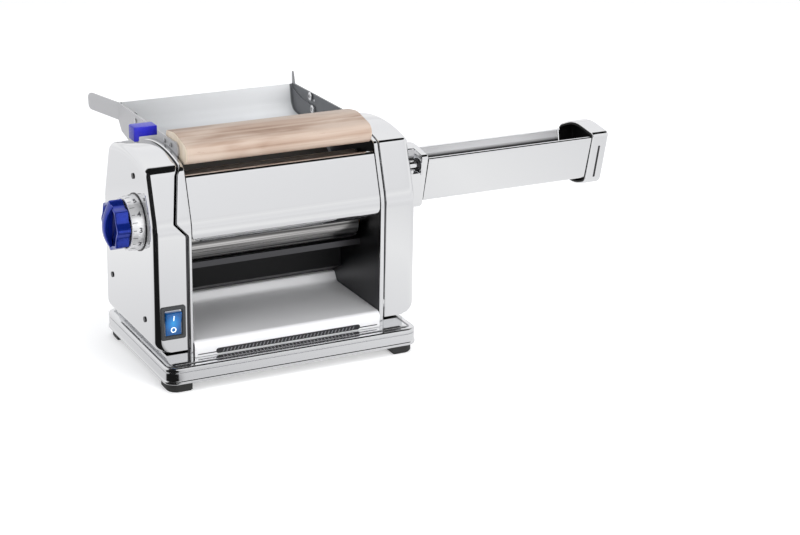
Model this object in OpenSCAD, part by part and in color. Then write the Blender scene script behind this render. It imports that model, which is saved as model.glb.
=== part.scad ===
// Electric pasta roller machine with a clip-on noodle cutter.
// X runs across the machine, -Y is the front where the pasta comes out, +Z is up.
// The origin is the centre of the base plate's flat underside.

/* [Base] */
// How far the base stands out in front of and behind the housings
base_margin = 22; // [16:1:40]
// How far the base sides stay inside the housing sides
base_inset = 5; // [0:1:12]
// Height of the rolled base rim
rim_h = 19; // [16:1:26]
// Corner radius of the base
base_corner_r = 14; // [8:1:24]
// Sheet thickness of the base tray
base_sheet = 1.5; // [1:0.1:2.5]
// Height of the rubber feet
foot_h = 10; // [6:1:20]
// Side length of a rubber foot
foot_w = 26; // [18:1:32]

/* [Body] */
// Clear width between the side plates
opening_w = 222; // [200:1:260]
// Thickness of the side plates
plate_t = 6; // [5:0.5:8]
// Width of each side housing
housing_w = 38; // [38:1:50]
// Depth of the housings, front to back
body_d = 158; // [154:1:180]
// Height of the bend between the upright and the sloping walls
kink_z = 167; // [160:1:180]
// Height of the crease where the slope meets the top
crease_z = 228; // [220:1:240]
// How far the crease lies behind the upright wall
crease_in = 20; // [12:1:26]
// Rise of the crowned top above the crease
crown = 9; // [4:1:14]
// Sheet thickness of the housings and covers
shell_t = 1.6; // [1.2:0.1:2.5]
// Radius of the housing's upright edges
edge_r = 8; // [4:1:10]
// Radius of the housing's lower outer edge
lower_r = 13; // [8:1:14]
// Shadow gap under the housings
housing_gap = 4.5; // [2:0.5:8]
// Thickness of the bright edge strips on the side plates
strip_t = 2; // [1.5:0.1:3]
// Width of the upper left strip's shoulder
shoulder_w = 13; // [6:1:16]

/* [Rollers] */
// Diameter of the steel dough rollers
roller_d = 50; // [48:0.5:51]
// Room at each end of a roller's face for the sliding bearing's arm
roller_room = 7; // [7:0.5:16]
// Smallest gap between the rollers
gap_min = 0.5; // [0.4:0.1:1]
// How far the rear roller moves back
gap_travel = 4.5; // [3:0.5:5]
// Radius of the roller journals
journal_r = 10; // [8:0.5:11]
// Height of the roller axes
roller_z = 131; // [128:1:136]
// Distance of the front roller's axis in front of the middle
roller_front = 14; // [12:1:16]

/* [Thickness knob] */
// Height of the knob's axis
knob_z = 164; // [160:1:168]
// Distance of the knob's axis in front of the middle
knob_front = 31; // [30:1:33]
// Radius of the knob's grip
knob_r = 27.8; // [22:0.1:29]
// Length of the knob's lobed grip
knob_len = 15; // [12:1:22]
// Radius of the dial ring
dial_r = 30.3; // [30:0.1:34]
// Length of the dial ring
dial_len = 15; // [8:0.5:18]
// Turn of the knob from the thinnest to the thickest setting
knob_turn = 300; // [240:10:320]

/* [Drive] */
// Module of the slow gears
slow_m = 1.5; // [1.5:0.1:1.6]
// Module of the fast gears
fast_m = 1; // [0.9:0.05:1.05]
// Width of the gears
gear_w = 8; // [6:0.5:8]
// Diameter of the motor
motor_d = 44; // [36:1:44]
// Length of the motor
motor_len = 130; // [90:1:150]

/* [Chute] */
// Height of the chute's floor
chute_z = 37.5; // [34:0.5:42]
// Length of the ribbed vent strip
vent_len = 172; // [120:1:180]
// Height of the ribbed vent strip
vent_h = 6; // [4:0.5:8]
// Pitch of the vent strip's ribs
vent_pitch = 4.3; // [4:0.1:8]

/* [Switch] */
// Width of the switch bezel
switch_w = 28; // [24:1:29]
// Height of the switch bezel
switch_h = 37; // [30:1:40]
// Height of the switch centre
switch_z = 63; // [58:1:80]

/* [Hopper] */
// Height of the arms' top edge
arm_z = 247; // [246:1:256]
// Height of the hopper's pivot
pivot_z = 206; // [202:1:208]
// Distance of the pivot behind the middle
pivot_back = 54; // [48:1:55]
// Distance of the hopper's back wall behind the middle
hopper_back = 153; // [140:1:165]
// Depth of the wooden guide, front to back
guide_d = 62; // [50:1:66]
// Thickness of the wooden guide
guide_t = 29; // [24:0.5:30]
// Height of the guide's top
guide_top = 256; // [254:0.5:260]
// Distance of the guide's nose in front of the middle
guide_front = 61.5; // [58:0.5:66]
// Length of a hopper wing
wing_len = 53; // [30:1:60]
// Angle by which the wings flare outwards
wing_flare = 22; // [10:1:30]

/* [Cutter] */
// Length of the cutter's covers
cutter_len = 215; // [190:1:260]
// Width of each cutter end cap
cap_w = 22; // [20:0.5:28]
// Gap between the machine and the cutter
cutter_gap = 2; // [1:0.5:4]
// Height of the covers' top edge above the cutter shafts
cutter_up = 32; // [28:1:36]
// Height of the covers' bottom edge below the cutter shafts
cutter_down = 24; // [20:1:26]
// Outer radius of the cutting discs
cut_r = 10.5; // [9.5:0.1:10.6]
// Depth to which the cutting discs overlap
cut_mesh = 1.6; // [1:0.1:2]
// Width of one noodle
noodle_w = 6.5; // [4:0.5:10]

/* [Hidden] */

fit = 0.05;       // radial running clearance of a shaft in its bore
clear = 0.3;      // clearance between pieces that move past each other
far = 400;        // longer than the machine, for cuts
eps = 0.01;
$fn = 64;

// Widths, from the middle outwards
half_open = opening_w / 2;
plate_x = half_open + plate_t;
side_x = plate_x + housing_w;
cover_w = opening_w - 2 * 0.8;
roller_len = opening_w - 2 * roller_room;
half_d = body_d / 2;

// Base
base_w = 2 * (side_x - base_inset);
base_d = body_d + 2 * base_margin;
deck_z = rim_h + 0.5;
lip_w = 7;
channel_w = 2.5;
channel_h = 3;
deck_w = base_w - 2 * (lip_w + channel_w);
deck_d = base_d - 2 * (lip_w + channel_w);
foot_in = 4;
foot_x = base_w / 2 - foot_in - foot_w / 2;
foot_y = base_d / 2 - foot_in - foot_w / 2;
screw_r = 2.5;

// Body outline
plinth_h = 5.5;
housing_z0 = deck_z + plinth_h + housing_gap;
slope = [-crease_in, crease_z - kink_z] / norm([crease_in, crease_z - kink_z]);
inward = [-slope[1], slope[0]];
crown_half = half_d - crease_in;
crown_r = (crown_half * crown_half + crown * crown) / (2 * crown);
crown_c = [0, crease_z + crown - crown_r];
crease_r = 3;
rear_r = 14;

// Rollers and shafts, each as [y, z]
front_axis = [-roller_front, roller_z];
rear_axis = front_axis + [roller_d + gap_min, 0];
knob_axis = [-knob_front, knob_z];
pivot_axis = [pivot_back, pivot_z];
arm_tip = [29.5 - guide_front, guide_top - 17.5];
bush_r = journal_r + 4;
slider_w = 30;
slider_h = 30;
shaft_r = 6;
stub_r = 5;

// Adjuster: a pin on each slider rides in a spiral slot of a disc on the knob's shaft
pin_r = 2.5;
scroll_r0 = 13;
scroll_rim = 2.6;
scroll_t = 3;
scroll_x = half_open - clear - scroll_t;
slider_x = scroll_x - clear - 2.8;
scroll_r = scroll_r0 + gap_travel + pin_r + clear + scroll_rim;

// Gears
mesh_n = 16;
mesh_w = 12;
mesh_x = plate_x + 2;
mesh_tip = (roller_d + gap_min) / 2 + 4.6;
mesh_root = (roller_d + gap_min) / 2 - 5.2;
drive_n = 37;
second_n = 16;
first_n = 84;
pinion_n = 12;
output_n = 17;
train_a = -42.2;
output_a = 90;
slow_x = plate_x + 2;
fast_x = slow_x + gear_w + 2;
fast_w = 6;
second_d = slow_m * (drive_n + second_n) / 2;
first_d = fast_m * (first_n + pinion_n) / 2;
output_d = slow_m * (drive_n + output_n) / 2;
idler_axis = front_axis + second_d * [cos(train_a), sin(train_a)];
motor_axis = idler_axis + first_d * [cos(train_a), sin(train_a)];
output_axis = front_axis + output_d * [cos(output_a), sin(output_a)];
drive_phase = 0;
second_phase = mesh_phase(train_a, drive_phase, drive_n, second_n);
output_phase = mesh_phase(output_a, drive_phase, drive_n, output_n);
pinion_phase = mesh_phase(train_a, 0, first_n, pinion_n);

// Hopper
arm_t = 2;
arm_x = half_open - 0.4 - arm_t;
sheet_t = 1.2;
guide_len = 2 * (arm_x - 0.3);
guide_holes = [for (back = [40.5, 59]) arm_tip + [back - 29.5, 2.5]];
guide_room = 8.5; // gap between the guide and the front cover
cover_top_z = guide_top - guide_t - guide_room;
sheet_bend = rear_axis + [-3.5, 53];
sheet_foot = rear_axis + [-6.5, 32];

// Cutter: [y, z] of its two shafts
cutter_x0 = side_x + cutter_gap;
covers_x0 = cutter_x0 + cap_w;
covers_x1 = covers_x0 + cutter_len;
cutter_x1 = covers_x1 + cap_w;
cut_axis_r = output_axis;
cut_axis_f = output_axis - [2 * cut_r - cut_mesh, 0];
cut_mid = (cut_axis_f[0] + cut_axis_r[0]) / 2;
cut_top_z = output_axis[1] + cutter_up;
cut_low_z = output_axis[1] - cutter_down;
cut_front = cut_mid - 37.5;
cut_rear = cut_mid + 38.5;
cut_lean = 14;
cut_lean_rear = 10;
cut_drop = 11;
cap_belly = 13;
cap_rise = 8;
cap_t = 2.5;
cut_root = cut_r - cut_mesh - 0.6;
cut_gear_n = 14;

// Where a tooth of the driven gear must point to mesh with the driving gear
function mesh_phase(dir, phase, n1, n2) = dir + 180 - 180 / n2 + (dir - phase) * n1 / n2;

// Fillet between the straight slope and the crowned top, on the +Y side
function corner_c(r) =
    let (q = [half_d, kink_z] + inward * r - crown_c, b = q * slope)
    [half_d, kink_z] + inward * r + (sqrt(b * b - q * q + pow(crown_r - r, 2)) - b) * slope;
function corner_pts(r, n) =
    let (c = corner_c(r),
         a0 = atan2(-inward[1], -inward[0]),
         a1 = atan2(c[1] - crown_c[1], c[0] - crown_c[0]))
    [for (i = [0:n]) c + r * [cos(a0 + (a1 - a0) * i / n), sin(a0 + (a1 - a0) * i / n)]];
function crown_pts(y0, y1, n) =
    [for (i = [1:n - 1])
        let (y = y0 + (y1 - y0) * i / n)
        [y, crown_c[1] + sqrt(crown_r * crown_r - y * y)]];
function flip(pts) = [for (i = [len(pts) - 1:-1:0]) [-pts[i][0], pts[i][1]]];
rear_pts = corner_pts(rear_r, 8);
front_pts = flip(corner_pts(crease_r, 3));
outline = concat([[half_d, -1], [half_d, kink_z]], rear_pts,
                 crown_pts(rear_pts[8][0], front_pts[0][0], 10), front_pts,
                 [[-half_d, kink_z], [-half_d, -1]]);

// Sheet metal: a path of points with rounded bends, thickened to its left
function unit(v) = v / norm(v);
function bend(a, b, c, r, n) =
    let (u = unit(a - b), v = unit(c - b),
         half = acos(u * v) / 2,
         m = b + unit(u + v) * r / sin(half),
         s = b + u * r / tan(half) - m,
         e = b + v * r / tan(half) - m,
         a0 = atan2(s[1], s[0]),
         da = (atan2(e[1], e[0]) - a0 + 540) % 360 - 180)
    [for (i = [0:n]) m + r * [cos(a0 + da * i / n), sin(a0 + da * i / n)]];
function path(pts, radii, n = 6) =
    concat([pts[0]],
           [for (i = [1:len(pts) - 2]) each bend(pts[i - 1], pts[i], pts[i + 1], radii[i - 1], n)],
           [pts[len(pts) - 1]]);
function loop_path(pts, radii, n = 6) =
    let (k = len(pts))
    [for (i = [0:k - 1]) each bend(pts[(i + k - 1) % k], pts[i], pts[(i + 1) % k], radii[i], n)];
function left_of(a, b) = let (d = unit(b - a)) [-d[1], d[0]];
function miter(p, i) =
    i == 0 ? left_of(p[0], p[1]) :
    i == len(p) - 1 ? left_of(p[i - 1], p[i]) :
    let (a = left_of(p[i - 1], p[i]), b = left_of(p[i], p[i + 1])) (a + b) / (1 + a * b);
function sheet(p, t) = concat(p, [for (i = [len(p) - 1:-1:0]) p[i] + t * miter(p, i)]);

// A profile drawn in (y, z) and extruded from x0 to x1
module along_x(x0, x1) {
    translate([x0, 0, 0]) rotate([90, 0, 90]) linear_extrude(x1 - x0) children();
}

// A round bar along X through the point yz
module rod_x(x0, x1, yz, r) {
    translate([x0, yz[0], yz[1]]) rotate([0, 90, 0]) cylinder(r = r, h = x1 - x0);
}

// Places children at yz and turns them about X
module at_axis(yz, turn = 0) {
    translate([0, yz[0], yz[1]]) rotate([turn, 0, 0]) children();
}

module both_sides() {
    children();
    mirror([1, 0, 0]) children();
}

module rounded_rect(w, d, r) {
    square([w - 2 * r, d], center = true);
    square([w, d - 2 * r], center = true);
    for (x = [-1, 1], y = [-1, 1])
        translate([x * (w / 2 - r), y * (d / 2 - r)]) circle(r = r);
}

module slab(w, d, r, z0, z1) {
    translate([0, 0, z0]) linear_extrude(z1 - z0) rounded_rect(w, d, r);
}

// The body outline above z0, drawn back by inset
module body_2d(inset, z0) {
    intersection() {
        if (inset == 0) polygon(outline);
        else offset(delta = -inset) polygon(outline);
        translate([-far / 2, z0]) square([far, far]);
    }
}

// Spur gear outline with straight flanks, centred on a tooth at angle 0
module gear_2d(n, tip, root, tip_w, root_w) {
    pts = [for (i = [0:n - 1], k = [0:3])
        let (a = 360 * i / n,
             r = (k == 0 || k == 3) ? root : tip,
             w = (k == 0 || k == 3) ? root_w : tip_w,
             s = k < 2 ? -1 : 1)
        [r * cos(a) - s * w / 2 * sin(a), r * sin(a) + s * w / 2 * cos(a)]];
    polygon(pts);
}

// Standard gear of module m between x0 and x1 about the X axis
module gear(m, n, x0, x1, bore_r, phase) {
    pitch_r = m * n / 2;
    difference() {
        along_x(x0, x1) rotate(phase)
            gear_2d(n, pitch_r + 0.8 * m, pitch_r - 1.2 * m, 0.62 * m, 2.05 * m);
        rod_x(x0 - 1, x1 + 1, [0, 0], bore_r);
    }
}

// --- Base ---

module base_tray() {
    bead = 0.8;
    groove_z = rim_h - 6;
    color("gainsboro") difference() {
        union() {
            slab(base_w, base_d, base_corner_r, 0, 2.5);
            slab(base_w - 2 * bead, base_d - 2 * bead, base_corner_r - bead, 2.5, rim_h - 2);
            slab(base_w - 4, base_d - 4, base_corner_r - 2, rim_h - 2, rim_h);
            slab(deck_w, deck_d, base_corner_r - lip_w, rim_h - channel_h, deck_z);
        }
        // groove under the rolled lip
        difference() {
            slab(base_w + 2, base_d + 2, base_corner_r + 1, groove_z, groove_z + 1.2);
            slab(base_w - 4, base_d - 4, base_corner_r - 2, groove_z - 1, groove_z + 2);
        }
        // channel between the lip and the deck
        difference() {
            slab(base_w - 2 * lip_w, base_d - 2 * lip_w, base_corner_r - lip_w + channel_w,
                 rim_h - channel_h, rim_h + 1);
            slab(deck_w, deck_d, base_corner_r - lip_w, rim_h - channel_h - 1, rim_h + 2);
        }
        // hollow underside
        slab(base_w - 2 * lip_w, base_d - 2 * lip_w, base_corner_r - lip_w + channel_w,
             -1, rim_h - channel_h - base_sheet);
        slab(deck_w - 2 * base_sheet, deck_d - 2 * base_sheet, base_corner_r - lip_w - base_sheet,
             0, deck_z - base_sheet);
    }
}

module base_plate() {
    color("dimgray") difference() {
        slab(base_w - 2 * lip_w, base_d - 2 * lip_w, base_corner_r - lip_w + channel_w,
             0, base_sheet);
        for (x = [-1, 1], y = [-1, 1])
            translate([x * foot_x, y * foot_y, -1]) cylinder(r = screw_r, h = base_sheet + 2);
    }
}

module foot_2d(r) {
    difference() {
        square([foot_w - 2, foot_w - 2], center = true);
        translate([foot_w / 2 - 1 - r, foot_w / 2 - 1 - r]) square([r + 1, r + 1]);
    }
    translate([foot_w / 2 - 1 - r, foot_w / 2 - 1 - r]) circle(r = r);
}

module feet() {
    corner = foot_w / 2 - 2;
    color("black") for (x = [-1, 1], y = [-1, 1])
        translate([x * foot_x, y * foot_y, 0]) mirror([x < 0 ? 1 : 0, 0, 0])
            mirror([0, y < 0 ? 1 : 0, 0]) difference() {
                union() {
                    translate([0, 0, -foot_h + 1.5]) linear_extrude(foot_h - 1.5)
                        scale(foot_w / (foot_w - 2)) foot_2d(corner);
                    translate([0, 0, -foot_h]) linear_extrude(1.5) foot_2d(corner);
                }
                translate([0, 0, -foot_h - 1]) cylinder(r = screw_r, h = foot_h + 2);
                translate([0, 0, -foot_h - 1]) cylinder(r = 2 * screw_r + 0.5, h = 5);
            }
}

module foot_screws() {
    color("silver") for (x = [-1, 1], y = [-1, 1])
        translate([x * foot_x, y * foot_y, 0]) {
            translate([0, 0, 4 - foot_h]) cylinder(r = screw_r, h = foot_h - 4 + base_sheet + 3);
            translate([0, 0, 2 - foot_h]) cylinder(r = 2 * screw_r, h = 2);
        }
}

module foot_rails() {
    color("gainsboro") both_sides()
        translate([plate_x, -half_d + shell_t + 1, deck_z])
            cube([housing_w - lower_r - 1, body_d - 2 * shell_t - 2, plinth_h]);
}

// --- Side frames ---

rod_r = 5;
rod_in = 9;
upper_rods = [[31 - half_d, crease_z - 36], [half_d - 17, kink_z + 11]];
lower_rods = [[rod_in - half_d, deck_z + 10], [half_d - rod_in, deck_z + 10]];
cover_holes = [[11 - half_d, kink_z + 5], [16.8 - half_d, cover_top_z - 18.5],
               [half_d - 10, kink_z - 55], [half_d - 10, kink_z - 9]];

module side_plate() {
    difference() {
        along_x(half_open, plate_x) body_2d(strip_t, deck_z);
        rod_x(half_open - 1, plate_x + 1, front_axis, bush_r);
        rod_x(half_open - 1, plate_x + 1, knob_axis, shaft_r + fit);
        rod_x(half_open - 1, plate_x + 1, pivot_axis, shaft_r + fit);
        for (p = upper_rods) rod_x(half_open - 1, plate_x + 1, p, rod_r - 1);
        for (p = lower_rods) rod_x(half_open - 1, plate_x + 1, p, rod_r - 1);
        for (p = cover_holes) rod_x(half_open - 1, plate_x + 1, p, 2);
        // slot for the sliding bearing
        translate([half_open - 1, rear_axis[0] - slider_w / 2 - clear, roller_z - slider_h / 2 - clear])
            cube([plate_t + 2, slider_w + gap_travel + 2 * clear, slider_h + 2 * clear]);
    }
}

module left_side_plate() {
    color("dimgray") mirror([1, 0, 0]) side_plate();
}

module right_side_plate() {
    color("dimgray") difference() {
        side_plate();
        rod_x(half_open - 1, plate_x + 1, motor_axis, 6);
        rod_x(half_open - 1, plate_x + 1, idler_axis, stub_r);
        rod_x(half_open - 1, plate_x + 1, output_axis, shaft_r + fit);
    }
}

module edge_band(x0, x1, z0) {
    along_x(x0, x1) difference() {
        body_2d(0, z0);
        body_2d(strip_t, z0 - 1);
    }
}

module left_edge_strip() {
    color("gainsboro") mirror([1, 0, 0]) {
        edge_band(half_open, plate_x, deck_z);
        difference() {
            edge_band(plate_x - eps, plate_x + shoulder_w, kink_z - 8);
            // slanted foot of the shoulder
            translate([plate_x, -far / 2, kink_z - 8])
                rotate([90, 0, 0]) mirror([0, 0, 1]) linear_extrude(far)
                    polygon([[0, -1], [shoulder_w + 1, -1], [shoulder_w + 1, shoulder_w + 1], [0, 0]]);
        }
    }
}

module right_edge_strip() {
    color("gainsboro") edge_band(half_open, plate_x, deck_z);
}

// Everything inside a wall whose outer face has a rounded edge at the machine's side
module wall_2d(r, t) {
    translate([-far, -far - t]) square([far + side_x - t, far - r + t]);
    translate([-far, -far - t]) square([far + side_x - r, far]);
    translate([side_x - r, -r]) circle(r = r - t);
}

module wall(at, tilt, r, t) {
    translate([0, at[0], at[1]]) rotate([tilt, 0, 0])
        linear_extrude(2 * far, center = true) wall_2d(r, t);
}

module crown_wall(t) {
    translate([0, crown_c[0], crown_c[1]]) rotate([0, 90, 0]) rotate_extrude($fn = 180) {
        translate([0, plate_x - 2]) square([crown_r - t, housing_w + 2 - edge_r]);
        translate([0, plate_x - 2]) square([crown_r - edge_r, housing_w + 2 - t]);
        translate([crown_r - edge_r, side_x - edge_r]) circle(r = edge_r - t, $fn = 64);
    }
}

// A housing drawn in by t on every side but the open inner one
module housing_solid(t) {
    tilt = atan(crease_in / (crease_z - kink_z));
    intersection() {
        along_x(plate_x - t, side_x + 1) body_2d(t, housing_z0 + t);
        wall([half_d, kink_z], 0, edge_r, t);
        wall([half_d, kink_z], tilt, edge_r, t);
        mirror([0, 1, 0]) wall([half_d, kink_z], 0, edge_r, t);
        mirror([0, 1, 0]) wall([half_d, kink_z], tilt, edge_r, t);
        wall([0, housing_z0], -90, lower_r, t);
        crown_wall(t);
    }
}

module housing_shell() {
    difference() {
        housing_solid(0);
        housing_solid(shell_t);
        translate([plate_x - 1, -half_d + 3 * shell_t, housing_z0 - 1])
            cube([housing_w - lower_r, body_d - 6 * shell_t, 2 * shell_t + 1]);
    }
}

panel_screws = [[-24, crease_z - 15], [half_d - 25, 77], [29 - half_d, 60]];

module left_housing() {
    color("gainsboro") mirror([1, 0, 0]) difference() {
        housing_shell();
        // room for the shoulder of the edge strip
        translate([plate_x - 1, -far / 2, kink_z - 8])
            rotate([90, 0, 0]) mirror([0, 0, 1]) linear_extrude(far)
                polygon([[0, 0], [1, 0], [shoulder_w + 1, shoulder_w], [shoulder_w + 1, far], [0, far]]);
        rod_x(side_x - 3 * shell_t, side_x + 1, knob_axis, shaft_r + 1);
        for (p = panel_screws) rod_x(side_x - 3 * shell_t, side_x + 1, p, 2);
        switch_cut();
        translate([switch_x, half_d, gland_z]) rotate([90, 0, 0])
            cylinder(r = gland_r, h = 10, center = true);
    }
}

spigot_r = 14;
locate_r = 5;
locate_axis = [cut_front + 12, cut_top_z - 11];
notch_x = cutter_x0 + 14;

module right_housing() {
    color("gainsboro") difference() {
        housing_shell();
        rod_x(side_x - 3 * shell_t, side_x + 1, output_axis, spigot_r + clear);
        rod_x(side_x - 3 * shell_t, side_x + 1, locate_axis, locate_r + clear);
        for (p = panel_screws) rod_x(side_x - 3 * shell_t, side_x + 1, p, 2);
    }
}

module housing_screws() {
    color("silver") both_sides() for (p = panel_screws) {
        rod_x(side_x - 3 * shell_t, side_x, p, 2);
        rod_x(side_x, side_x + 1, p, 3.2);
    }
}

module tie_rods() {
    color("silver") for (p = concat(upper_rods, lower_rods)) {
        rod_x(-half_open, half_open, p, rod_r);
        rod_x(-plate_x - 2, plate_x + 2, p, rod_r - 1);
    }
}

// --- Covers and chute ---

module side_flange(y0, y1, z0, z1) {
    difference() {
        along_x(cover_w / 2 - shell_t, cover_w / 2) intersection() {
            body_2d(0.5 + shell_t / 2, z0);
            translate([y0, z0]) square([y1 - y0, z1 - z0]);
        }
        for (p = cover_holes) rod_x(0, plate_x, p, 2);
    }
}

module front_cover() {
    front = half_d - 0.5;
    top_z = cover_top_z;
    top_y = -front + crease_in * (top_z - kink_z) / (crease_z - kink_z);
    lip_z = kink_z - 20;
    color("gainsboro") {
        intersection() {
            along_x(-cover_w / 2, cover_w / 2)
                polygon(sheet(path([[top_y + 15, top_z], [top_y, top_z], [-front, kink_z],
                                    [-front, lip_z], [-front + 11, lip_z - 4]], [6, 8, 5]), shell_t));
            translate([0, 0, lip_z - 5 + far / 2]) rotate([90, 0, 0])
                linear_extrude(2 * far, center = true) rounded_rect(cover_w, far, 12);
        }
        both_sides() side_flange(-far / 2, 19.8 - half_d, lip_z + 12, top_z - 8);
    }
}

module rear_cover() {
    rear = half_d - 0.5;
    top_z = kink_z + 20;
    color("gainsboro") {
        difference() {
            along_x(-cover_w / 2, cover_w / 2)
                polygon(sheet(path([[rear, deck_z], [rear, kink_z],
                                    [rear - crease_in * 20 / (crease_z - kink_z), top_z]], [8]), shell_t));
            for (i = [-6:6]) translate([i * 12, rear, 80]) cube([4, 10, 40], center = true);
        }
        both_sides() side_flange(half_d - 15, far / 2, kink_z - 65, kink_z - 2);
    }
}

module cover_screws() {
    color("silver") both_sides() for (p = cover_holes) {
        rod_x(cover_w / 2 - shell_t - 2, plate_x, p, 2);
        rod_x(plate_x, plate_x + 2, p, 3.5);
    }
}

chute_front = half_d + 2;
chute_w = opening_w - 1.2;
vent_z = deck_z + 1.2 + vent_h / 2;

module slot_2d(len, h) {
    square([len - h, h], center = true);
    for (x = [-1, 1]) translate([x * (len - h) / 2, 0]) circle(d = h);
}

module chute() {
    color("gainsboro") difference() {
        along_x(-chute_w / 2, chute_w / 2)
            polygon(sheet(path([[46, chute_z + 8], [36, chute_z + 8], [31, chute_z],
                                [-chute_front, chute_z], [-chute_front, deck_z]], [2, 2, 6]), base_sheet));
        translate([0, -chute_front, vent_z]) rotate([90, 0, 0])
            linear_extrude(10, center = true) slot_2d(vent_len, vent_h);
    }
}

module vent_strip() {
    count = floor((vent_len - 2 * vent_h) / vent_pitch / 2);
    color("black") translate([0, -chute_front + base_sheet, vent_z]) rotate([90, 0, 0])
        linear_extrude(base_sheet + 0.6) difference() {
            slot_2d(vent_len, vent_h);
            for (i = [-count:count]) translate([i * vent_pitch, 0])
                square([vent_pitch * 0.45, vent_h - 2], center = true);
        }
}

module motor_cover() {
    color("black") along_x(-chute_w / 2, chute_w / 2)
        polygon(sheet(path([[62, 98], [26, 98], [20, 91], [20, 60], [45, chute_z + 8.2]],
                           [3, 3, 3]), shell_t));
}

// --- Dough rollers ---

module front_bushes() {
    color("goldenrod") both_sides() difference() {
        rod_x(half_open, plate_x, front_axis, bush_r);
        rod_x(half_open - 1, plate_x + 1, front_axis, journal_r + fit);
    }
}

neck_r = 8;

module roller(yz, left_end, right_end) {
    rod_x(-roller_len / 2, roller_len / 2, yz, roller_d / 2);
    rod_x(-plate_x - 0.5, plate_x + 0.5, yz, journal_r);
    rod_x(-left_end, right_end, yz, neck_r);
}

module front_roller() {
    color("silver") roller(front_axis, mesh_x + mesh_w + 1, slow_x + gear_w + 0.5);
}

module rear_roller() {
    color("silver") roller(rear_axis, mesh_x + mesh_w + 1, plate_x + 1);
}

// Long slender teeth stay in mesh while the rear roller moves back
module mesh_gear(yz, phase) {
    difference() {
        at_axis(yz) along_x(-mesh_x - mesh_w, -mesh_x) rotate(phase)
            gear_2d(mesh_n, mesh_tip, mesh_root, 1.7, 4.6);
        rod_x(-mesh_x - mesh_w - 1, -mesh_x + 1, yz, neck_r);
    }
}

module front_mesh_gear() {
    color("slategray") mesh_gear(front_axis, 0);
}

module rear_mesh_gear() {
    color("slategray") mesh_gear(rear_axis, 180 / mesh_n);
}

module drive_gear() {
    color("slategray") at_axis(front_axis)
        gear(slow_m, drive_n, slow_x, slow_x + gear_w, neck_r, drive_phase);
}

module scraper_2d() {
    reach = roller_d / 2;
    polygon(sheet([[-5.5, -reach - 0.3], [-14, -reach + 1.5], [-14.5, -reach - 5]], 1.2));
}

module front_scraper() {
    color("silver") at_axis(front_axis) along_x(-half_open, half_open) scraper_2d();
}

module rear_scraper() {
    color("silver") at_axis(rear_axis) along_x(-slider_x, slider_x) mirror([1, 0]) scraper_2d();
}

// --- Adjuster ---

module slider() {
    pin = knob_axis + [scroll_r0, 0];
    arm_h = 10;
    difference() {
        union() {
            along_x(slider_x, plate_x) translate(rear_axis) square([slider_w, slider_h], center = true);
            along_x(slider_x, scroll_x - clear) {
                translate(pin) circle(d = arm_h);
                translate([pin[0], knob_z - arm_h / 2])
                    square([rear_axis[0] + slider_w / 4 - pin[0], arm_h]);
                translate([rear_axis[0] - slider_w / 4, roller_z])
                    square([slider_w / 2, knob_z - roller_z]);
                translate([rear_axis[0] + 5, roller_z - roller_d / 2 - 5]) square([10, 20]);
            }
            rod_x(scroll_x - 1, scroll_x + scroll_t, pin, pin_r);
        }
        rod_x(slider_x - 1, plate_x + 1, rear_axis, journal_r + fit);
    }
}

module left_slider() {
    color("darkkhaki") mirror([1, 0, 0]) slider();
}

module right_slider() {
    color("darkkhaki") slider();
}

module scroll_discs() {
    steps = 48;
    half_w = pin_r + clear;
    grow = gap_travel / knob_turn;
    slot = concat(
        [for (i = [0:steps]) let (a = knob_turn * i / steps, r = scroll_r0 + grow * a + half_w)
            [r * cos(a), -r * sin(a)]],
        [for (i = [steps:-1:0]) let (a = knob_turn * i / steps, r = scroll_r0 + grow * a - half_w)
            [r * cos(a), -r * sin(a)]]);
    color("slategray") both_sides() difference() {
        at_axis(knob_axis) along_x(scroll_x, scroll_x + scroll_t) difference() {
            circle(r = scroll_r);
            circle(r = shaft_r);
            polygon(slot);
            for (a = [0, knob_turn])
                rotate(-a) translate([scroll_r0 + grow * a, 0]) circle(r = half_w);
        }
    }
}

module adjuster_shaft() {
    color("silver") rod_x(-side_x - dial_len - knob_len + 4, plate_x, knob_axis, shaft_r);
}

knob_x0 = side_x + dial_len + 0.5;
knob_x1 = knob_x0 + knob_len;
lobes = 8;

module knob_2d(r) {
    difference() {
        circle(r = r);
        for (i = [0:lobes - 1]) rotate(360 * (i + 0.5) / lobes)
            translate([r + 1.5, 0]) circle(r = 4);
    }
}

module knob() {
    nose = 8;
    grip_w = 13;
    grip_turn = 10;
    arch_r = 44;
    color("royalblue") at_axis(knob_axis) difference() {
        union() {
            along_x(-knob_x1 + 2, -knob_x0) knob_2d(knob_r);
            along_x(-knob_x1, -knob_x1 + 3) knob_2d(knob_r - 1.6);
            // arched grip bar across the face
            intersection() {
                along_x(-knob_x1 - nose, -knob_x1 + 1) rotate(grip_turn)
                    square([grip_w, 2 * knob_r - 5], center = true);
                rotate([grip_turn, 0, 0]) translate([arch_r - knob_x1 - nose, 0, 0])
                    rotate([90, 0, 0]) cylinder(r = arch_r, h = grip_w + 2, center = true, $fn = 128);
            }
        }
        rod_x(-knob_x1 + 3, -knob_x0 + 1, [0, 0], shaft_r);
    }
}

module dial_ring() {
    color("gainsboro") translate([-side_x, knob_axis[0], knob_axis[1]]) rotate([0, -90, 0])
        rotate_extrude() polygon([[dial_r - 4, 0], [dial_r, 0], [dial_r, 1.5],
                                  [dial_r - 1.5, dial_len], [dial_r - 4, dial_len]]);
}

// --- Switch and cable gland ---

switch_x = plate_x + housing_w / 2 - 2;
rocker_w = switch_w - 10;
rocker_h = switch_h - 10;
rocker_axis = [-half_d + 6, switch_z];
rocker_tilt = 7;
gland_z = 52;
gland_r = 8;

module switch_cut() {
    translate([switch_x, -half_d, switch_z])
        cube([switch_w - 4, 12, switch_h - 4], center = true);
}

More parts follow.
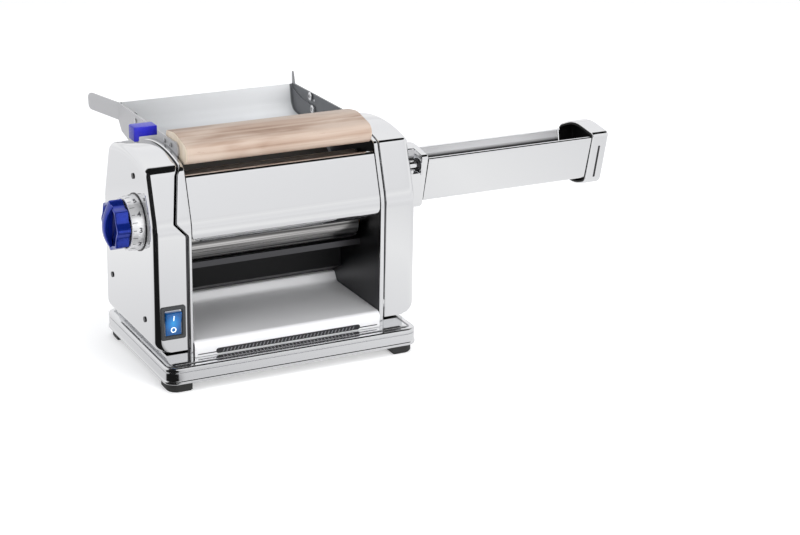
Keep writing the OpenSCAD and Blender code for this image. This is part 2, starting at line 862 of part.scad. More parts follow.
module switch_bezel() {
    depth = 22;
    color("dimgray") mirror([1, 0, 0]) difference() {
        union() {
            translate([switch_x, -half_d, switch_z]) rotate([90, 0, 0])
                linear_extrude(2) rounded_rect(switch_w, switch_h, 2.5);
            translate([switch_x, -half_d + depth / 2 - 0.5, switch_z])
                cube([switch_w - 4, depth + 1, switch_h - 4], center = true);
        }
        translate([switch_x, -half_d + 4, switch_z])
            cube([rocker_w + 1, 24, rocker_h + 1], center = true);
        rod_x(switch_x - rocker_w / 2 - 2, switch_x + rocker_w / 2 + 2, rocker_axis, 1.5 + fit);
    }
}

module switch_rocker() {
    deep = 9;
    color("deepskyblue") mirror([1, 0, 0]) at_axis(rocker_axis, rocker_tilt) {
        along_x(switch_x - rocker_w / 2, switch_x + rocker_w / 2)
            polygon([[-deep, rocker_h / 2 - 1.2], [-deep + 1.8, 0], [-deep, -rocker_h / 2 + 1.2],
                     [-2, -rocker_h / 2 + 0.6], [4, -4], [4, 4], [-2, rocker_h / 2 - 0.6]]);
        rod_x(switch_x - rocker_w / 2 - 1.5, switch_x + rocker_w / 2 + 1.5, [0, 0], 1.5);
    }
}

module cable_gland() {
    color("black") translate([-switch_x, half_d, gland_z]) rotate([-90, 0, 0]) difference() {
        union() {
            translate([0, 0, -8]) cylinder(r = gland_r, h = 12);
            cylinder(r = gland_r + 3, h = 3);
            cylinder(r1 = gland_r + 1, r2 = gland_r - 2, h = 10);
        }
        translate([0, 0, -9]) cylinder(r = 3.5, h = 20);
    }
}

// --- Motor and gear train ---

motor_shaft_r = 4;

module motor() {
    face_x = half_open;
    color("dimgray") difference() {
        union() {
            rod_x(face_x - motor_len + 20, face_x - 4, motor_axis, motor_d / 2 - 1.5);
            rod_x(face_x - motor_len, face_x - motor_len + 22, motor_axis, motor_d / 2);
            rod_x(face_x - 26, face_x, motor_axis, motor_d / 2);
            for (i = [0:5]) rod_x(face_x - motor_len + 32 + i * 12, face_x - motor_len + 36 + i * 12,
                                  motor_axis, motor_d / 2 - 0.5);
        }
        rod_x(face_x - 22, face_x + 1, motor_axis, motor_shaft_r + fit);
    }
}

module motor_pinion() {
    color("silver") at_axis(motor_axis) {
        rod_x(half_open - 20, fast_x + gear_w, [0, 0], motor_shaft_r);
        gear(fast_m, pinion_n, fast_x - 0.5, fast_x + gear_w, motor_shaft_r - 1, pinion_phase);
    }
}

module reduction_gear() {
    web_r = fast_m * first_n / 4 + 4;
    color("slategray") at_axis(idler_axis) {
        gear(slow_m, second_n, slow_x, slow_x + gear_w, stub_r + fit, second_phase);
        difference() {
            rod_x(slow_x + gear_w, fast_x, [0, 0], stub_r + 4);
            rod_x(slow_x, fast_x + 1, [0, 0], stub_r + fit);
        }
        difference() {
            gear(fast_m, first_n, fast_x, fast_x + fast_w, stub_r + fit, 0);
            for (i = [0:4]) rotate([72 * i, 0, 0]) rod_x(fast_x - 1, fast_x + fast_w + 1, [web_r, 0], 8);
        }
    }
}

module idler_stub() {
    color("silver") at_axis(idler_axis) {
        rod_x(half_open, fast_x + fast_w + clear, [0, 0], stub_r);
        rod_x(fast_x + fast_w + clear, fast_x + fast_w + clear + 2, [0, 0], stub_r + 2.5);
    }
}

hex_r = 6;
hex_play = 0.4;
sleeve_r = 9;

module output_coupling() {
    color("slategray") at_axis(output_axis) {
        gear(slow_m, output_n, slow_x, slow_x + gear_w, shaft_r, output_phase);
        rod_x(half_open + 0.5, slow_x + gear_w + 1, [0, 0], shaft_r);
        difference() {
            rod_x(slow_x + gear_w, side_x + 1, [0, 0], sleeve_r);
            translate([slow_x + gear_w + 4, 0, 0]) rotate([0, 90, 0])
                cylinder(r = hex_r, h = housing_w, $fn = 6);
        }
    }
}

// --- Hopper ---

sheet_path = path([[hopper_back, arm_z - 1], [hopper_back - 6, arm_z - 31],
                   [pivot_back + 16, arm_z - 40], sheet_bend, sheet_foot], [16, 26, 14], 8);

module hopper_sheet() {
    color("lightgray") {
        difference() {
            along_x(-arm_x, arm_x) polygon(sheet(sheet_path, -sheet_t));
            // the lower end passes between the sliders
            both_sides() translate([roller_len / 2 - 1, -far / 2, 0]) cube([far, far, sheet_bend[1] - 2]);
        }
        // side flanges
        both_sides() along_x(arm_x - sheet_t, arm_x)
            polygon([[hopper_back - 6, arm_z - 30], [hopper_back - 1, arm_z - 4],
                     [hopper_back - 28, arm_z - 12], [hopper_back - 67, arm_z - 14],
                     [hopper_back - 71, arm_z - 38]]);
    }
}

module hopper_arm() {
    ring_r = 9;
    hub_r = 12;
    difference() {
        union() {
            along_x(arm_x, arm_x + arm_t) {
                translate(arm_tip) circle(r = ring_r);
                translate(pivot_axis) circle(r = hub_r);
                polygon([arm_tip + [-2, ring_r - 0.2], arm_tip + [6, ring_r - 0.5],
                         [hopper_back, arm_z], [hopper_back - 4, arm_z - 20],
                         [hopper_back - 14, arm_z - 31], [pivot_back + 46, pivot_z + 2],
                         [pivot_back + 2, pivot_z - hub_r], [pivot_back - 4, pivot_z - hub_r + 0.7],
                         [pivot_back - 40, pivot_z], arm_tip + [8, 1 - ring_r],
                         arm_tip - [0, ring_r]]);
            }
            rod_x(arm_x + arm_t / 2, plate_x + 2, pivot_axis, shaft_r);
            // wing flared out behind the back wall
            translate([arm_x, hopper_back - 5, 0]) rotate([0, 0, -wing_flare]) along_x(0, arm_t)
                polygon(loop_path([[0, arm_z - 20], [wing_len, arm_z - 16],
                                   [wing_len + 1, arm_z + 4], [0, arm_z]],
                                  [1.5, 6, 6, 1.5], 4));
        }
        for (p = concat(rivets, guide_holes)) rod_x(arm_x - 1, arm_x + arm_t + 1, p, 1.5);
    }
}

rivets = [[hopper_back - 63, arm_z - 7], [hopper_back - 63, arm_z - 24]];

module left_hopper_arm() {
    color("lightgray") mirror([1, 0, 0]) hopper_arm();
}

module right_hopper_arm() {
    color("lightgray") hopper_arm();
}

module hopper_rivets() {
    color("silver") both_sides() for (p = rivets) {
        rod_x(arm_x, arm_x + arm_t, p, 1.5);
        rod_x(arm_x + arm_t, arm_x + arm_t + 1.1, p, 3);
    }
}

module safety_tab() {
    out = 30;
    y0 = 22;
    top = arm_z + 2;
    leg_z = crease_z + crown - y0 * y0 / (2 * crown_r) + 0.6;
    color("mediumblue") mirror([1, 0, 0]) {
        translate([arm_x + arm_t, y0, top - 11]) cube([out, 14, 11]);
        translate([arm_x + arm_t + out - 4, y0, leg_z]) cube([4, 14, top - leg_z]);
    }
}

// Beech bar with a rounded nose, screwed to both arms
module wooden_guide() {
    z0 = guide_top - guide_t;
    nose = guide_t / 2 - 3.5;
    color("burlywood") difference() {
        along_x(-guide_len / 2, guide_len / 2)
            polygon(loop_path([[-guide_front, z0], [guide_d - guide_front, z0],
                               [guide_d - guide_front, guide_top - 4],
                               [guide_d * 0.6 - guide_front, guide_top],
                               [-guide_front, guide_top - 8.5]],
                              [nose, 3, 3, 40, nose - 1], 8));
        both_sides() for (p = guide_holes) rod_x(guide_len / 2 - 13, guide_len / 2 + 1, p, 1.5);
    }
}

module guide_screws() {
    color("silver") both_sides() for (p = guide_holes) {
        rod_x(guide_len / 2 - 12, arm_x + arm_t, p, 1.5);
        rod_x(arm_x + arm_t, arm_x + arm_t + 1.1, p, 2.6);
    }
}

// --- Noodle cutter ---

// Cap outline in (y, z), grown by g: arched on top, bellied underneath
function cap_pts(g) =
    loop_path([[cut_front - g, cut_top_z + 1 + g], [cut_front + cut_lean - g, cut_low_z - 4 - g],
               [cut_mid, cut_low_z - cap_belly - g], [cut_rear - cut_lean_rear + g, cut_low_z - 6 - g],
               [cut_rear + g, cut_top_z - cut_drop + 4 + g],
               [cut_mid + 4, cut_top_z + cap_rise + g]], [5, 9, 50, 9, 12, 55], 6);

module cap(x0, x1, wall_left) {
    difference() {
        union() {
            along_x(x0 + (wall_left ? 3 : 0), x1 - (wall_left ? 0 : 3)) polygon(cap_pts(1));
            along_x(x0, x1) polygon(cap_pts(-1));
        }
        along_x(wall_left ? x0 + cap_t : x0 - 1, wall_left ? x1 + 1 : x1 - cap_t)
            polygon(cap_pts(-cap_t));
    }
}

boss_r = 9;
cut_journal_r = 5;

module cap_bosses(x0, x1) {
    for (p = [cut_axis_f, cut_axis_r]) rod_x(x0, x1, p, boss_r);
}

module cap_bores(x0, x1) {
    for (p = [cut_axis_f, cut_axis_r]) rod_x(x0, x1, p, cut_journal_r + fit);
}

cut_rods = [[cut_front + cut_lean + 5.5, cut_low_z + 6], [cut_rear - cut_lean_rear - 5.5, cut_low_z + 6]];

module cutter_inner_cap() {
    color("gainsboro") difference() {
        union() {
            difference() {
                cap(cutter_x0, covers_x0, true);
                // open corner that shows the locating pin
                translate([cutter_x0 - 1, cut_front - 5, locate_axis[1] - 8])
                    cube([notch_x - cutter_x0 + 1, 26, 40]);
            }
            translate([notch_x, cut_front + 3, locate_axis[1] - 10]) cube([cap_t, 20, 17]);
            cap_bosses(cutter_x0 + 1, cutter_x0 + 10);
            rod_x(side_x - 5, cutter_x0 + 1, output_axis, spigot_r);
            rod_x(side_x - 5, notch_x + cap_t, locate_axis, locate_r);
        }
        cap_bores(cutter_x0 - 0.5, cutter_x0 + 11);
        rod_x(side_x - 6, cutter_x0 + 0.5, output_axis, sleeve_r + 1.5);
    }
}

module cutter_outer_cap() {
    slot_x = covers_x1 + 13;
    slot_w = 2.5;
    slot_len = 40;
    color("gainsboro") difference() {
        union() {
            cap(covers_x1, cutter_x1, false);
            cap_bosses(cutter_x1 - 9, cutter_x1 - 1);
        }
        cap_bores(covers_x1, cutter_x1 - 1);
        // narrow slot down the front
        translate([slot_x, cut_front - 5, output_axis[1] - slot_len / 2 - 1.5])
            cube([slot_w, 20, slot_len]);
    }
}

module cutter_front_cover() {
    color("gainsboro") along_x(covers_x0, covers_x1)
        polygon(sheet(path([[cut_front + 6, cut_top_z - 3], [cut_front, cut_top_z],
                            [cut_front + cut_lean, cut_low_z], [cut_front + cut_lean + 6, cut_low_z]],
                           [2.5, 4]), shell_t));
}

module cutter_rear_cover() {
    color("gainsboro") along_x(covers_x0, covers_x1)
        polygon(sheet(path([[cut_rear - cut_lean_rear - 6, cut_low_z], [cut_rear - cut_lean_rear, cut_low_z],
                            [cut_rear, cut_top_z - cut_drop], [cut_rear - 6, cut_top_z - cut_drop + 2]],
                           [4, 2.2]), shell_t));
}

module cutter_tie_rods() {
    color("silver") for (p = cut_rods) rod_x(cutter_x0 + cap_t, cutter_x1 - cap_t, p, 2.5);
}

cells = floor((cutter_len - 4) / noodle_w);
cells_x0 = covers_x0 + (cutter_len - cells * noodle_w) / 2;

// Ringed roller: every second cell is a disc, odd picks which ones
module cutting_roller(yz, odd, x0) {
    play = 0.35;
    rings = [for (i = [0:cells - 1]) if (i % 2 == odd)
        each [[cut_root, i * noodle_w + play], [cut_r, i * noodle_w + play],
              [cut_r, (i + 1) * noodle_w - play], [cut_root, (i + 1) * noodle_w - play]]];
    translate([cells_x0, yz[0], yz[1]]) rotate([0, 90, 0]) rotate_extrude()
        polygon(concat([[0, 0], [cut_root, 0]], rings,
                       [[cut_root, cells * noodle_w], [0, cells * noodle_w]]));
    rod_x(x0, cutter_x1 - cap_t, yz, cut_journal_r);
}

module cutter_front_roller() {
    color("silver") cutting_roller(cut_axis_f, 0, cutter_x0 + 0.5);
}

module cutter_rear_roller() {
    color("silver") {
        cutting_roller(cut_axis_r, 1, cutter_x0 - 0.2);
        translate([slow_x + gear_w + 8, cut_axis_r[0], cut_axis_r[1]]) rotate([0, 90, 0])
            cylinder(r = hex_r - hex_play, h = cutter_x0 - slow_x - gear_w - 8, $fn = 6);
    }
}

cut_m = (2 * cut_r - cut_mesh) / cut_gear_n;

module cutter_gear(yz, phase) {
    at_axis(yz) gear(cut_m, cut_gear_n, covers_x1 + 2, covers_x1 + 9, cut_journal_r, phase);
}

module cutter_front_gear() {
    color("slategray") cutter_gear(cut_axis_f, 0);
}

module cutter_rear_gear() {
    color("slategray") cutter_gear(cut_axis_r, 180 / cut_gear_n);
}

// Fingers that lift the noodles out of the grooves
module cutter_combs() {
    side = 0.8;
    for (c = [[cut_axis_f, 0], [cut_axis_r, 1]]) {
        y = c[0][0];
        top = c[0][1] - cut_root - 0.9;
        color("silver") {
            translate([cutter_x0 + cap_t, y - 2, cut_low_z + cap_t])
                cube([cutter_x1 - cutter_x0 - 2 * cap_t, 4, 2.5]);
            for (i = [0:cells - 1]) if (i % 2 != c[1])
                translate([cells_x0 + i * noodle_w + side, y - 1, cut_low_z + 4])
                    cube([noodle_w - 2 * side, 2, top - cut_low_z - 4]);
        }
    }
}

base_tray();
base_plate();
feet();
foot_screws();
foot_rails();
left_side_plate();
right_side_plate();
left_edge_strip();
right_edge_strip();
left_housing();
right_housing();
housing_screws();
tie_rods();
front_cover();
rear_cover();
cover_screws();
chute();
vent_strip();
motor_cover();
front_bushes();
front_roller();
front_mesh_gear();
drive_gear();
front_scraper();
left_slider();
right_slider();
rear_roller();
rear_mesh_gear();
rear_scraper();
dial_ring();
knob();
adjuster_shaft();
scroll_discs();
switch_bezel();
switch_rocker();
cable_gland();
motor();
motor_pinion();
reduction_gear();
idler_stub();
output_coupling();
hopper_sheet();
left_hopper_arm();
right_hopper_arm();
hopper_rivets();
safety_tab();
wooden_guide();
guide_screws();
cutter_inner_cap();
cutter_outer_cap();
cutter_front_cover();
cutter_rear_cover();
cutter_tie_rods();
cutter_front_roller();
cutter_rear_roller();
cutter_front_gear();
cutter_rear_gear();
cutter_combs();
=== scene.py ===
"""Looks for an electric pasta roller machine with a clip-on noodle cutter.

Everything is in metres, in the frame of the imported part: X runs across the
machine, -Y is the front where the pasta comes out, and +Z is up.
"""
import math

import bpy
import numpy as np
from mathutils import Matrix, Vector


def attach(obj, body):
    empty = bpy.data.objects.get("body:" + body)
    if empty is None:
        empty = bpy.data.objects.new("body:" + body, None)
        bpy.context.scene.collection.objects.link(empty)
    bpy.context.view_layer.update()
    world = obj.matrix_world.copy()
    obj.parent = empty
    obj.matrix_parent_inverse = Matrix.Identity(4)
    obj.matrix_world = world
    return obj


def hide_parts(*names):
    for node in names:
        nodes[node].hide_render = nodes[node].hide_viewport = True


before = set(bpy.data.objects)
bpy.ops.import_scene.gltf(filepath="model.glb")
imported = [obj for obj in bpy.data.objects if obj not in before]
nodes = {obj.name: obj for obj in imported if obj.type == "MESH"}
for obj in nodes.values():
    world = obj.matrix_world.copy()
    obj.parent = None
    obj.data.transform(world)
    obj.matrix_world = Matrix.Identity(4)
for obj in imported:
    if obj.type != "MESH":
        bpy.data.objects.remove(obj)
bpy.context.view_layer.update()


# --- Camera ---
# A long lens from the front left, a little above the machine. The frame is
# 800 x 535, and the small shifts put the machine left of and above its middle.
FRAME_W, FOCAL_PX, SENSOR = 800, 1896.5, 36.0
SHIFT = (0.125, -0.1006)
EYE = Vector((-0.7888, -1.8433, 0.7942))
AZIMUTH, PITCH = math.radians(24.46), math.radians(17.19)


def placed(name, data):
    """A new object of the scene, made from its data."""
    made = bpy.data.objects.new(name, data)
    bpy.context.scene.collection.objects.link(made)
    return made


lens = bpy.data.cameras.new("camera")
lens.sensor_width = SENSOR
lens.lens = FOCAL_PX * SENSOR / FRAME_W
lens.shift_x, lens.shift_y = SHIFT
camera = placed("camera", lens)
gaze = Vector((math.sin(AZIMUTH) * math.cos(PITCH), math.cos(AZIMUTH) * math.cos(PITCH), -math.sin(PITCH)))
camera.matrix_world = Matrix.Translation(EYE) @ gaze.to_track_quat("-Z", "Y").to_matrix().to_4x4()
bpy.context.scene.camera = camera
bpy.context.scene.view_settings.view_transform = "Standard"


# --- Finishes ---
# Every finish is one Principled shader whose varying colour, roughness and
# relief are worked out from Object coordinates with plain arithmetic.
class Wire:
    """An output socket of a finish; arithmetic on it adds Math nodes."""

    def __init__(self, finish, socket):
        self.finish, self.socket = finish, socket

    def math(self, operation, *others, clamp=False):
        return self.finish.node("Math", {"operation": operation, "use_clamp": clamp}, self, *others)

    def __add__(self, other):
        return self.math("ADD", other)

    def __sub__(self, other):
        return self.math("SUBTRACT", other)

    def __rsub__(self, other):
        return self.finish.node("Math", {"operation": "SUBTRACT"}, other, self)

    def __mul__(self, other):
        return self.math("MULTIPLY", other)

    __radd__, __rmul__ = __add__, __mul__


class Finish:
    """A procedural material; keyword values go straight onto the shader's sockets."""

    def __init__(self, name, colour, rough=0.3, metal=0.0, **sockets):
        self.material = bpy.data.materials.new(name)
        self.material.use_nodes = True
        self.tree = self.material.node_tree
        self.shader = self.tree.nodes["Principled BSDF"]
        self.set(Base_Color=colour, Roughness=rough, Metallic=metal, **sockets)
        self.material.diffuse_color = (*colour, 1)

    def node(self, kind, settings=None, *inputs, out=0, **named):
        """Adds any shader node: settings first, then its inputs by place or by name. An
        input given as None keeps its own value."""
        made = self.tree.nodes.new("ShaderNode" + kind)
        for key, value in (settings or {}).items():
            if key == "stops":
                ramp = made.color_ramp.elements
                while len(ramp) < len(value):
                    ramp.new(0.5)
                for stop, (place, shade) in zip(ramp, value):
                    stop.position, stop.color = place, (*shade, 1)
            else:
                setattr(made, key, value)
        pairs = list(enumerate(inputs)) + [(key.replace("_", " "), value) for key, value in named.items()]
        for key, value in pairs:
            if value is not None:
                self.feed(made.inputs[key], value)
        return Wire(self, made.outputs[out])

    def feed(self, socket, value):
        if isinstance(value, Wire):
            self.tree.links.new(value.socket, socket)
        else:
            socket.default_value = (*value, 1) if socket.type == "RGBA" else value

    def set(self, **sockets):
        for key, value in sockets.items():
            self.feed(self.shader.inputs[key.replace("_", " ")], value)

    def where(self, scale=(1, 1, 1), turn=(0, 0, 0), move=(0, 0, 0)):
        """Object coordinates, moved, turned and scaled."""
        here = self.node("TexCoord", out="Object")
        return self.node("Mapping", None, here, move, turn, scale)

    def axes(self, output="Object"):
        """The x, y and z of a surface's coordinates: Object, or the world's Generated."""
        split = self.node("SeparateXYZ", None, self.node("TexCoord", out=output))
        return [Wire(self, socket) for socket in split.socket.node.outputs]

    def noise(self, place, scale, detail=3.0, rough=0.5, warp=0.0):
        return self.node("TexNoise", None, Vector=place, Scale=scale, Detail=detail, Roughness=rough,
                         Distortion=warp)

    def ramp(self, value, *stops):
        return self.node("ValToRGB", {"stops": stops}, value)

    def blend(self, amount, a, b):
        """Mixes two colours by amount. They are the node's seventh and eighth inputs."""
        return self.node("Mix", {"data_type": "RGBA"}, amount, *[None] * 5, a, b, out=2)

    def smooth_step(self, value, start, end):
        """0 before start, 1 after end and an S-shaped rise between them."""
        return self.node("MapRange", {"interpolation_type": "SMOOTHSTEP"}, value, start, end)

    def relief(self, height, depth):
        """Bumps the surface by height, depth metres deep where height is 1."""
        self.set(Normal=self.node("Bump", None, Height=height, Distance=depth, Strength=1.0))


def grained(name, colour, rough, scale, vary, depth, stops=(), metal=0.0, detail=2.0, broken=0.5, **sockets):
    """A finish with one even grain: it varies the roughness around rough, stands depth
    metres proud and, where stops are given, runs the colour through them."""
    skin = Finish(name, colour, rough, metal, **sockets)
    grain = skin.noise(skin.where(), scale, detail, broken)
    if stops:
        skin.set(Base_Color=skin.ramp(grain, *stops))
    skin.set(Roughness=(grain - 0.5) * vary + rough)
    skin.relief(grain, depth)
    return skin


def dress(finish, *names):
    """Gives the solids called names this finish."""
    for name in names:
        solid = nodes[name]
        solid.data.materials.clear()
        solid.data.materials.append(finish.material)


# --- Floor, backdrop and light ---
# A plain white sweep that keeps the machine's shadow. Bright sheets hang round
# the machine; the gap between the front sheet and the top one, a dark card and
# the unlit table at the front left corner draw the black lines in the steel.
FLOOR_Z, FLOOR_R, FLOOR_X = -0.0101, 2.2, 0.12
WHITE, BLACK = (1.0, 1.0, 1.0), (0.0, 0.0, 0.0)
CORNER_X, CORNER_Y = -0.150, -0.101


def once_round(count):
    """So many equal steps of a full turn, in radians."""
    return np.linspace(0, 2 * np.pi, count, endpoint=False)


def plain_panel(name, corners):
    """One flat panel through its corners, in order."""
    mesh = bpy.data.meshes.new(name)
    mesh.from_pydata([tuple(c) for c in corners], [], [tuple(range(len(corners)))])
    panel = placed(name, mesh)
    return panel


around = once_round(96)
floor = plain_panel("floor", np.c_[FLOOR_X + FLOOR_R * np.cos(around), FLOOR_R * np.sin(around),
                                   np.full(96, FLOOR_Z)])
paper = Finish("floor_paper", (0.86, 0.86, 0.86), rough=0.9)
spot_x, spot_y, _ = paper.axes()
east_of, north_of = spot_x - CORNER_X, spot_y - CORNER_Y
away = (east_of * east_of + north_of * north_of).math("POWER", 0.5)

# In reflections alone the table carries painted shade: it is unlit in a sector off the corner, whose bearing
# is taken from the corner's diagonal and which widens close to the corner
bearing = (east_of - north_of).math("ARCTAN2", (east_of + north_of) * -1.0)
spread = (away * -10.0).math("EXPONENT")
dark_side = paper.smooth_step(bearing.math("ABSOLUTE") - spread, 0.88, 0.60)
# Painted shadow in the reflected table: darker close to the machine, brightest some way off
painted_table_shade = paper.ramp(away * 0.8, (0.0, (0.70, 0.70, 0.71)), (0.25, (0.86, 0.86, 0.87)),
                  (0.42, (0.98, 0.98, 0.98)), (0.62, (0.86, 0.86, 0.87)), (1.0, (0.92, 0.92, 0.93)))
mirrored = paper.node("Emission", None, paper.blend(dark_side, painted_table_shade, (0.012, 0.012, 0.012)), 1.0)
glow = paper.node("Emission", None, WHITE, paper.node("LightPath", out="Is Camera Ray") * 0.35)
lit_paper = paper.node("AddShader", None, Wire(paper, paper.shader.outputs[0]), glow)
surface = paper.node("MixShader", None, paper.node("LightPath", out="Is Glossy Ray"), lit_paper, mirrored)
paper.tree.links.new(surface.socket, paper.tree.nodes["Material Output"].inputs["Surface"])
floor.data.materials.append(paper.material)

world = bpy.data.worlds.new("studio")
bpy.context.scene.world = world
world.use_nodes = True


class Sky(Finish):
    """The world's own node tree, built with the same arithmetic."""

    def __init__(self, world):
        self.tree = world.node_tree
        self.background = self.tree.nodes["Background"]


sky = Sky(world)
_, north, up = sky.axes("Generated")
sheets = sky.ramp(up, (0.0, (0.90, 0.90, 0.91)), (0.12, (0.98, 0.98, 0.98)), (0.25, (0.87, 0.87, 0.88)),
                  (0.32, (0.97, 0.97, 0.98)), (0.48, (0.95, 0.95, 0.96)), (0.80, WHITE),
                  (1.0, (0.88, 0.88, 0.90)))
gap = sky.ramp(up, (0.56, BLACK), (0.60, WHITE))
steel_sees = sky.blend(sky.smooth_step(north, 0.32, 0.12) * gap, sheets, (0.01, 0.01, 0.01))
unmirrored = sky.blend(sky.node("LightPath", out="Is Glossy Ray"), (0.66, 0.67, 0.69), steel_sees)
straight = sky.node("LightPath", out="Is Camera Ray")
straight = straight.math("MAXIMUM", sky.node("LightPath", out="Is Transmission Ray"))
sky.tree.links.new(sky.blend(straight, unmirrored, WHITE).socket, sky.background.inputs["Color"])


def soft_lamp(name, place, aim, size, watts):
    """A square soft box at place, turned towards aim, unseen in the steel."""
    light = bpy.data.lights.new(name, "AREA")
    light.shape, light.size, light.energy = "SQUARE", size, watts
    lamp = placed(name, light)
    lamp.matrix_world = (Matrix.Translation(Vector(place))
                         @ (Vector(aim) - Vector(place)).to_track_quat("-Z", "Y").to_matrix().to_4x4())
    lamp.visible_glossy = False


soft_lamp("top_lamp", (0.3, -0.3, 1.7), (0.05, 0, 0.1), 1.4, 12)
soft_lamp("left_lamp", (-1.4, -1.1, 0.9), (0, 0, 0.12), 1.0, 6)
soft_lamp("low_lamp", (0.25, -1.5, 0.42), (0, 0, 0.05), 0.6, 15)

card = plain_panel("dark_card", [(-0.66, -0.18, FLOOR_Z), (-0.23, -0.61, FLOOR_Z), (-0.23, -0.61, 0.7),
                                 (-0.66, -0.18, 0.7)])
felt = Finish("black_felt", (0.008, 0.008, 0.008), rough=1.0)
card.data.materials.append(felt.material)
card.visible_camera = card.visible_diffuse = card.visible_shadow = card.visible_transmission = False


# --- Housings ---
# Each side housing is drawn from polished stainless sheet: upright walls, a soft
# bend into the sloping ones, a sharp crease and a crowned top, with its outer
# edges rounded. It stands on the base and is screwed to the side plate.
MM = 0.001


def polished(name, tint=(0.80, 0.805, 0.815), rough=0.055, wave=0.00005):
    """Mirror-polished sheet: faint wiping marks and a slow waviness."""
    steel = Finish(name, tint, metal=1.0)
    broad = steel.noise(steel.where(), 7.0, 2.0)
    wiped = steel.noise(steel.where(scale=(1, 1, 7)), 240.0, 4.0, 0.6)
    steel.set(Roughness=(wiped - 0.5) * 0.05 + (broad - 0.5) * 0.03 + rough)
    steel.relief(broad * 0.8 + wiped * 0.015, wave)
    return steel


def rounded(corners, radii, steps=10):
    """A polyline through corners with each corner turned into an arc of its radius.
    An arc starts and ends at radius * tan(half the turn) from its corner."""
    corners = np.asarray(corners, float)
    out = [corners[0]]
    for before, at, after, radius in zip(corners, corners[1:], corners[2:], radii):
        a, b = (before - at) / np.linalg.norm(before - at), (after - at) / np.linalg.norm(after - at)
        half = np.arccos(np.clip(a @ b, -1, 1)) / 2
        centre = at + (a + b) / np.linalg.norm(a + b) * radius / np.sin(half)
        first, last = at + a * radius / np.tan(half) - centre, at + b * radius / np.tan(half) - centre
        sweep = np.pi - 2 * half
        k = np.linspace(0, 1, max(2, int(np.ceil(steps * sweep / (np.pi / 2))) + 1))[:, None]
        out.extend(centre + (first * np.sin((1 - k) * sweep) + last * np.sin(k * sweep)) / np.sin(sweep))
    out.append(corners[-1])
    return np.array(out)


def filled_in(points, step):
    """The same polyline with extra points, none further apart than step."""
    out = [points[:1]]
    for a, b in zip(points, points[1:]):
        count = max(1, int(np.ceil(np.linalg.norm(b - a) / step)))
        out.append(a + (b - a) * np.linspace(0, 1, count + 1)[1:, None])
    return np.vstack(out)


def grid_faces(nu, nv, loop_u, loop_v):
    """The faces of a grid of nu by nv points; a looped way joins its ends."""
    i, j = np.indices((nu if loop_u else nu - 1, nv if loop_v else nv - 1))
    i1, j1 = (i + 1) % nu, (j + 1) % nv
    return np.stack([i * nv + j, i1 * nv + j, i1 * nv + j1, i * nv + j1], -1).reshape(-1, 4)


def surface_mesh(name, points, finish, loop_u=False, loop_v=False, sharp=32, inside=None):
    """A smooth piece through a grid of points (u, v, xyz), its faces turned away from the
    point called inside."""
    quads = grid_faces(*points.shape[:2], loop_u, loop_v)
    flat = points.reshape(-1, 3)
    if inside is not None:
        a, b, c, d = (flat[quads[:, k]] for k in range(4))
        outward = np.einsum("ij,ij->i", np.cross(c - a, d - b), (a + c) / 2 - np.asarray(inside, float)).sum()
        quads = quads[:, ::-1] if outward < 0 else quads
    return mesh_piece(name, flat, quads, finish, sharp)


def smooth(mesh, sharp):
    """Shades a mesh smooth but for its edges over sharp degrees."""
    mesh.shade_smooth()
    mesh.set_sharp_from_angle(angle=math.radians(sharp))


def mesh_piece(name, points, faces, finish, sharp=32):
    """A piece from points in millimetres and faces."""
    mesh = bpy.data.meshes.new(name)
    mesh.from_pydata((np.asarray(points) * MM).tolist(), [], [list(map(int, face)) for face in faces])
    mesh.validate()
    smooth(mesh, sharp)
    if finish is not None:
        mesh.materials.append(finish.material)
    return placed(name, mesh)


def settled(piece, sharp):
    """Works a piece's modifiers into its mesh."""
    bpy.context.view_layer.update()
    mesh = bpy.data.meshes.new_from_object(piece.evaluated_get(bpy.context.evaluated_depsgraph_get()))
    piece.modifiers.clear()
    piece.data = mesh
    smooth(mesh, sharp)


def thicken(piece, thickness, sharp=32):
    """Gives a sheet its thickness on the side away from its outward faces, once points
    that coincide are joined."""
    weld = piece.modifiers.new("weld", "WELD")
    weld.merge_threshold = 1e-6
    solid = piece.modifiers.new("thickness", "SOLIDIFY")
    solid.thickness, solid.offset = thickness * MM, -1.0
    settled(piece, sharp)


def stands_for(piece, body, slot, *replaced):
    """Puts a piece on its body and in place of the solids it replaces; slot is not used."""
    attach(piece, body)
    if replaced:
        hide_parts(*replaced)


mirror_steel = polished("mirror_steel")
PLATE_X, SIDE_X = 117.0, 155.0
BODY_Y, KINK_Z, CREASE_Z, CREASE_Y, TOP_Z, HOUSING_Z = 79.0, 167.0, 228.0, 59.0, 237.0, 29.5
EDGE_R, SEAM_R, LOWER_R, KINK_R, SOFT_CREASE, TIGHT_CREASE = 8.0, 1.3, 13.0, 60.0, 14.0, 5.0
CROWN_R = (CREASE_Y ** 2 + (TOP_Z - CREASE_Z) ** 2) / (2 * (TOP_Z - CREASE_Z))


def whole_outline(shoulder):
    """The housings' outline in (y, z): upright wall, soft bend, slope, crease and half the
    arc of the crowned top, each where the one before ends, then the same mirrored behind."""
    crease_r = SOFT_CREASE if shoulder else TIGHT_CREASE
    y = np.linspace(1.0 + crease_r / 2 - CREASE_Y, 0, 24)
    crown = np.c_[y, TOP_Z - CROWN_R + np.sqrt(CROWN_R ** 2 - y ** 2)]
    front = rounded([(-BODY_Y, HOUSING_Z), (-BODY_Y, KINK_Z), (-CREASE_Y, CREASE_Z), crown[0]],
                    [KINK_R, crease_r], 24)
    half = filled_in(np.vstack([front, crown[1:]]), 2.0)
    return np.vstack([half, (half * (-1, 1))[-2::-1]])


def quarter_round(radius, steps):
    """How far along and how far in the points of a rounded edge lie, from its rim to where
    it meets the flat: radius * (1 - cos t) and radius * (1 - sin t)."""
    t = np.linspace(0, np.pi / 2, steps + 1)
    return radius * (1 - np.c_[np.cos(t), np.sin(t)])


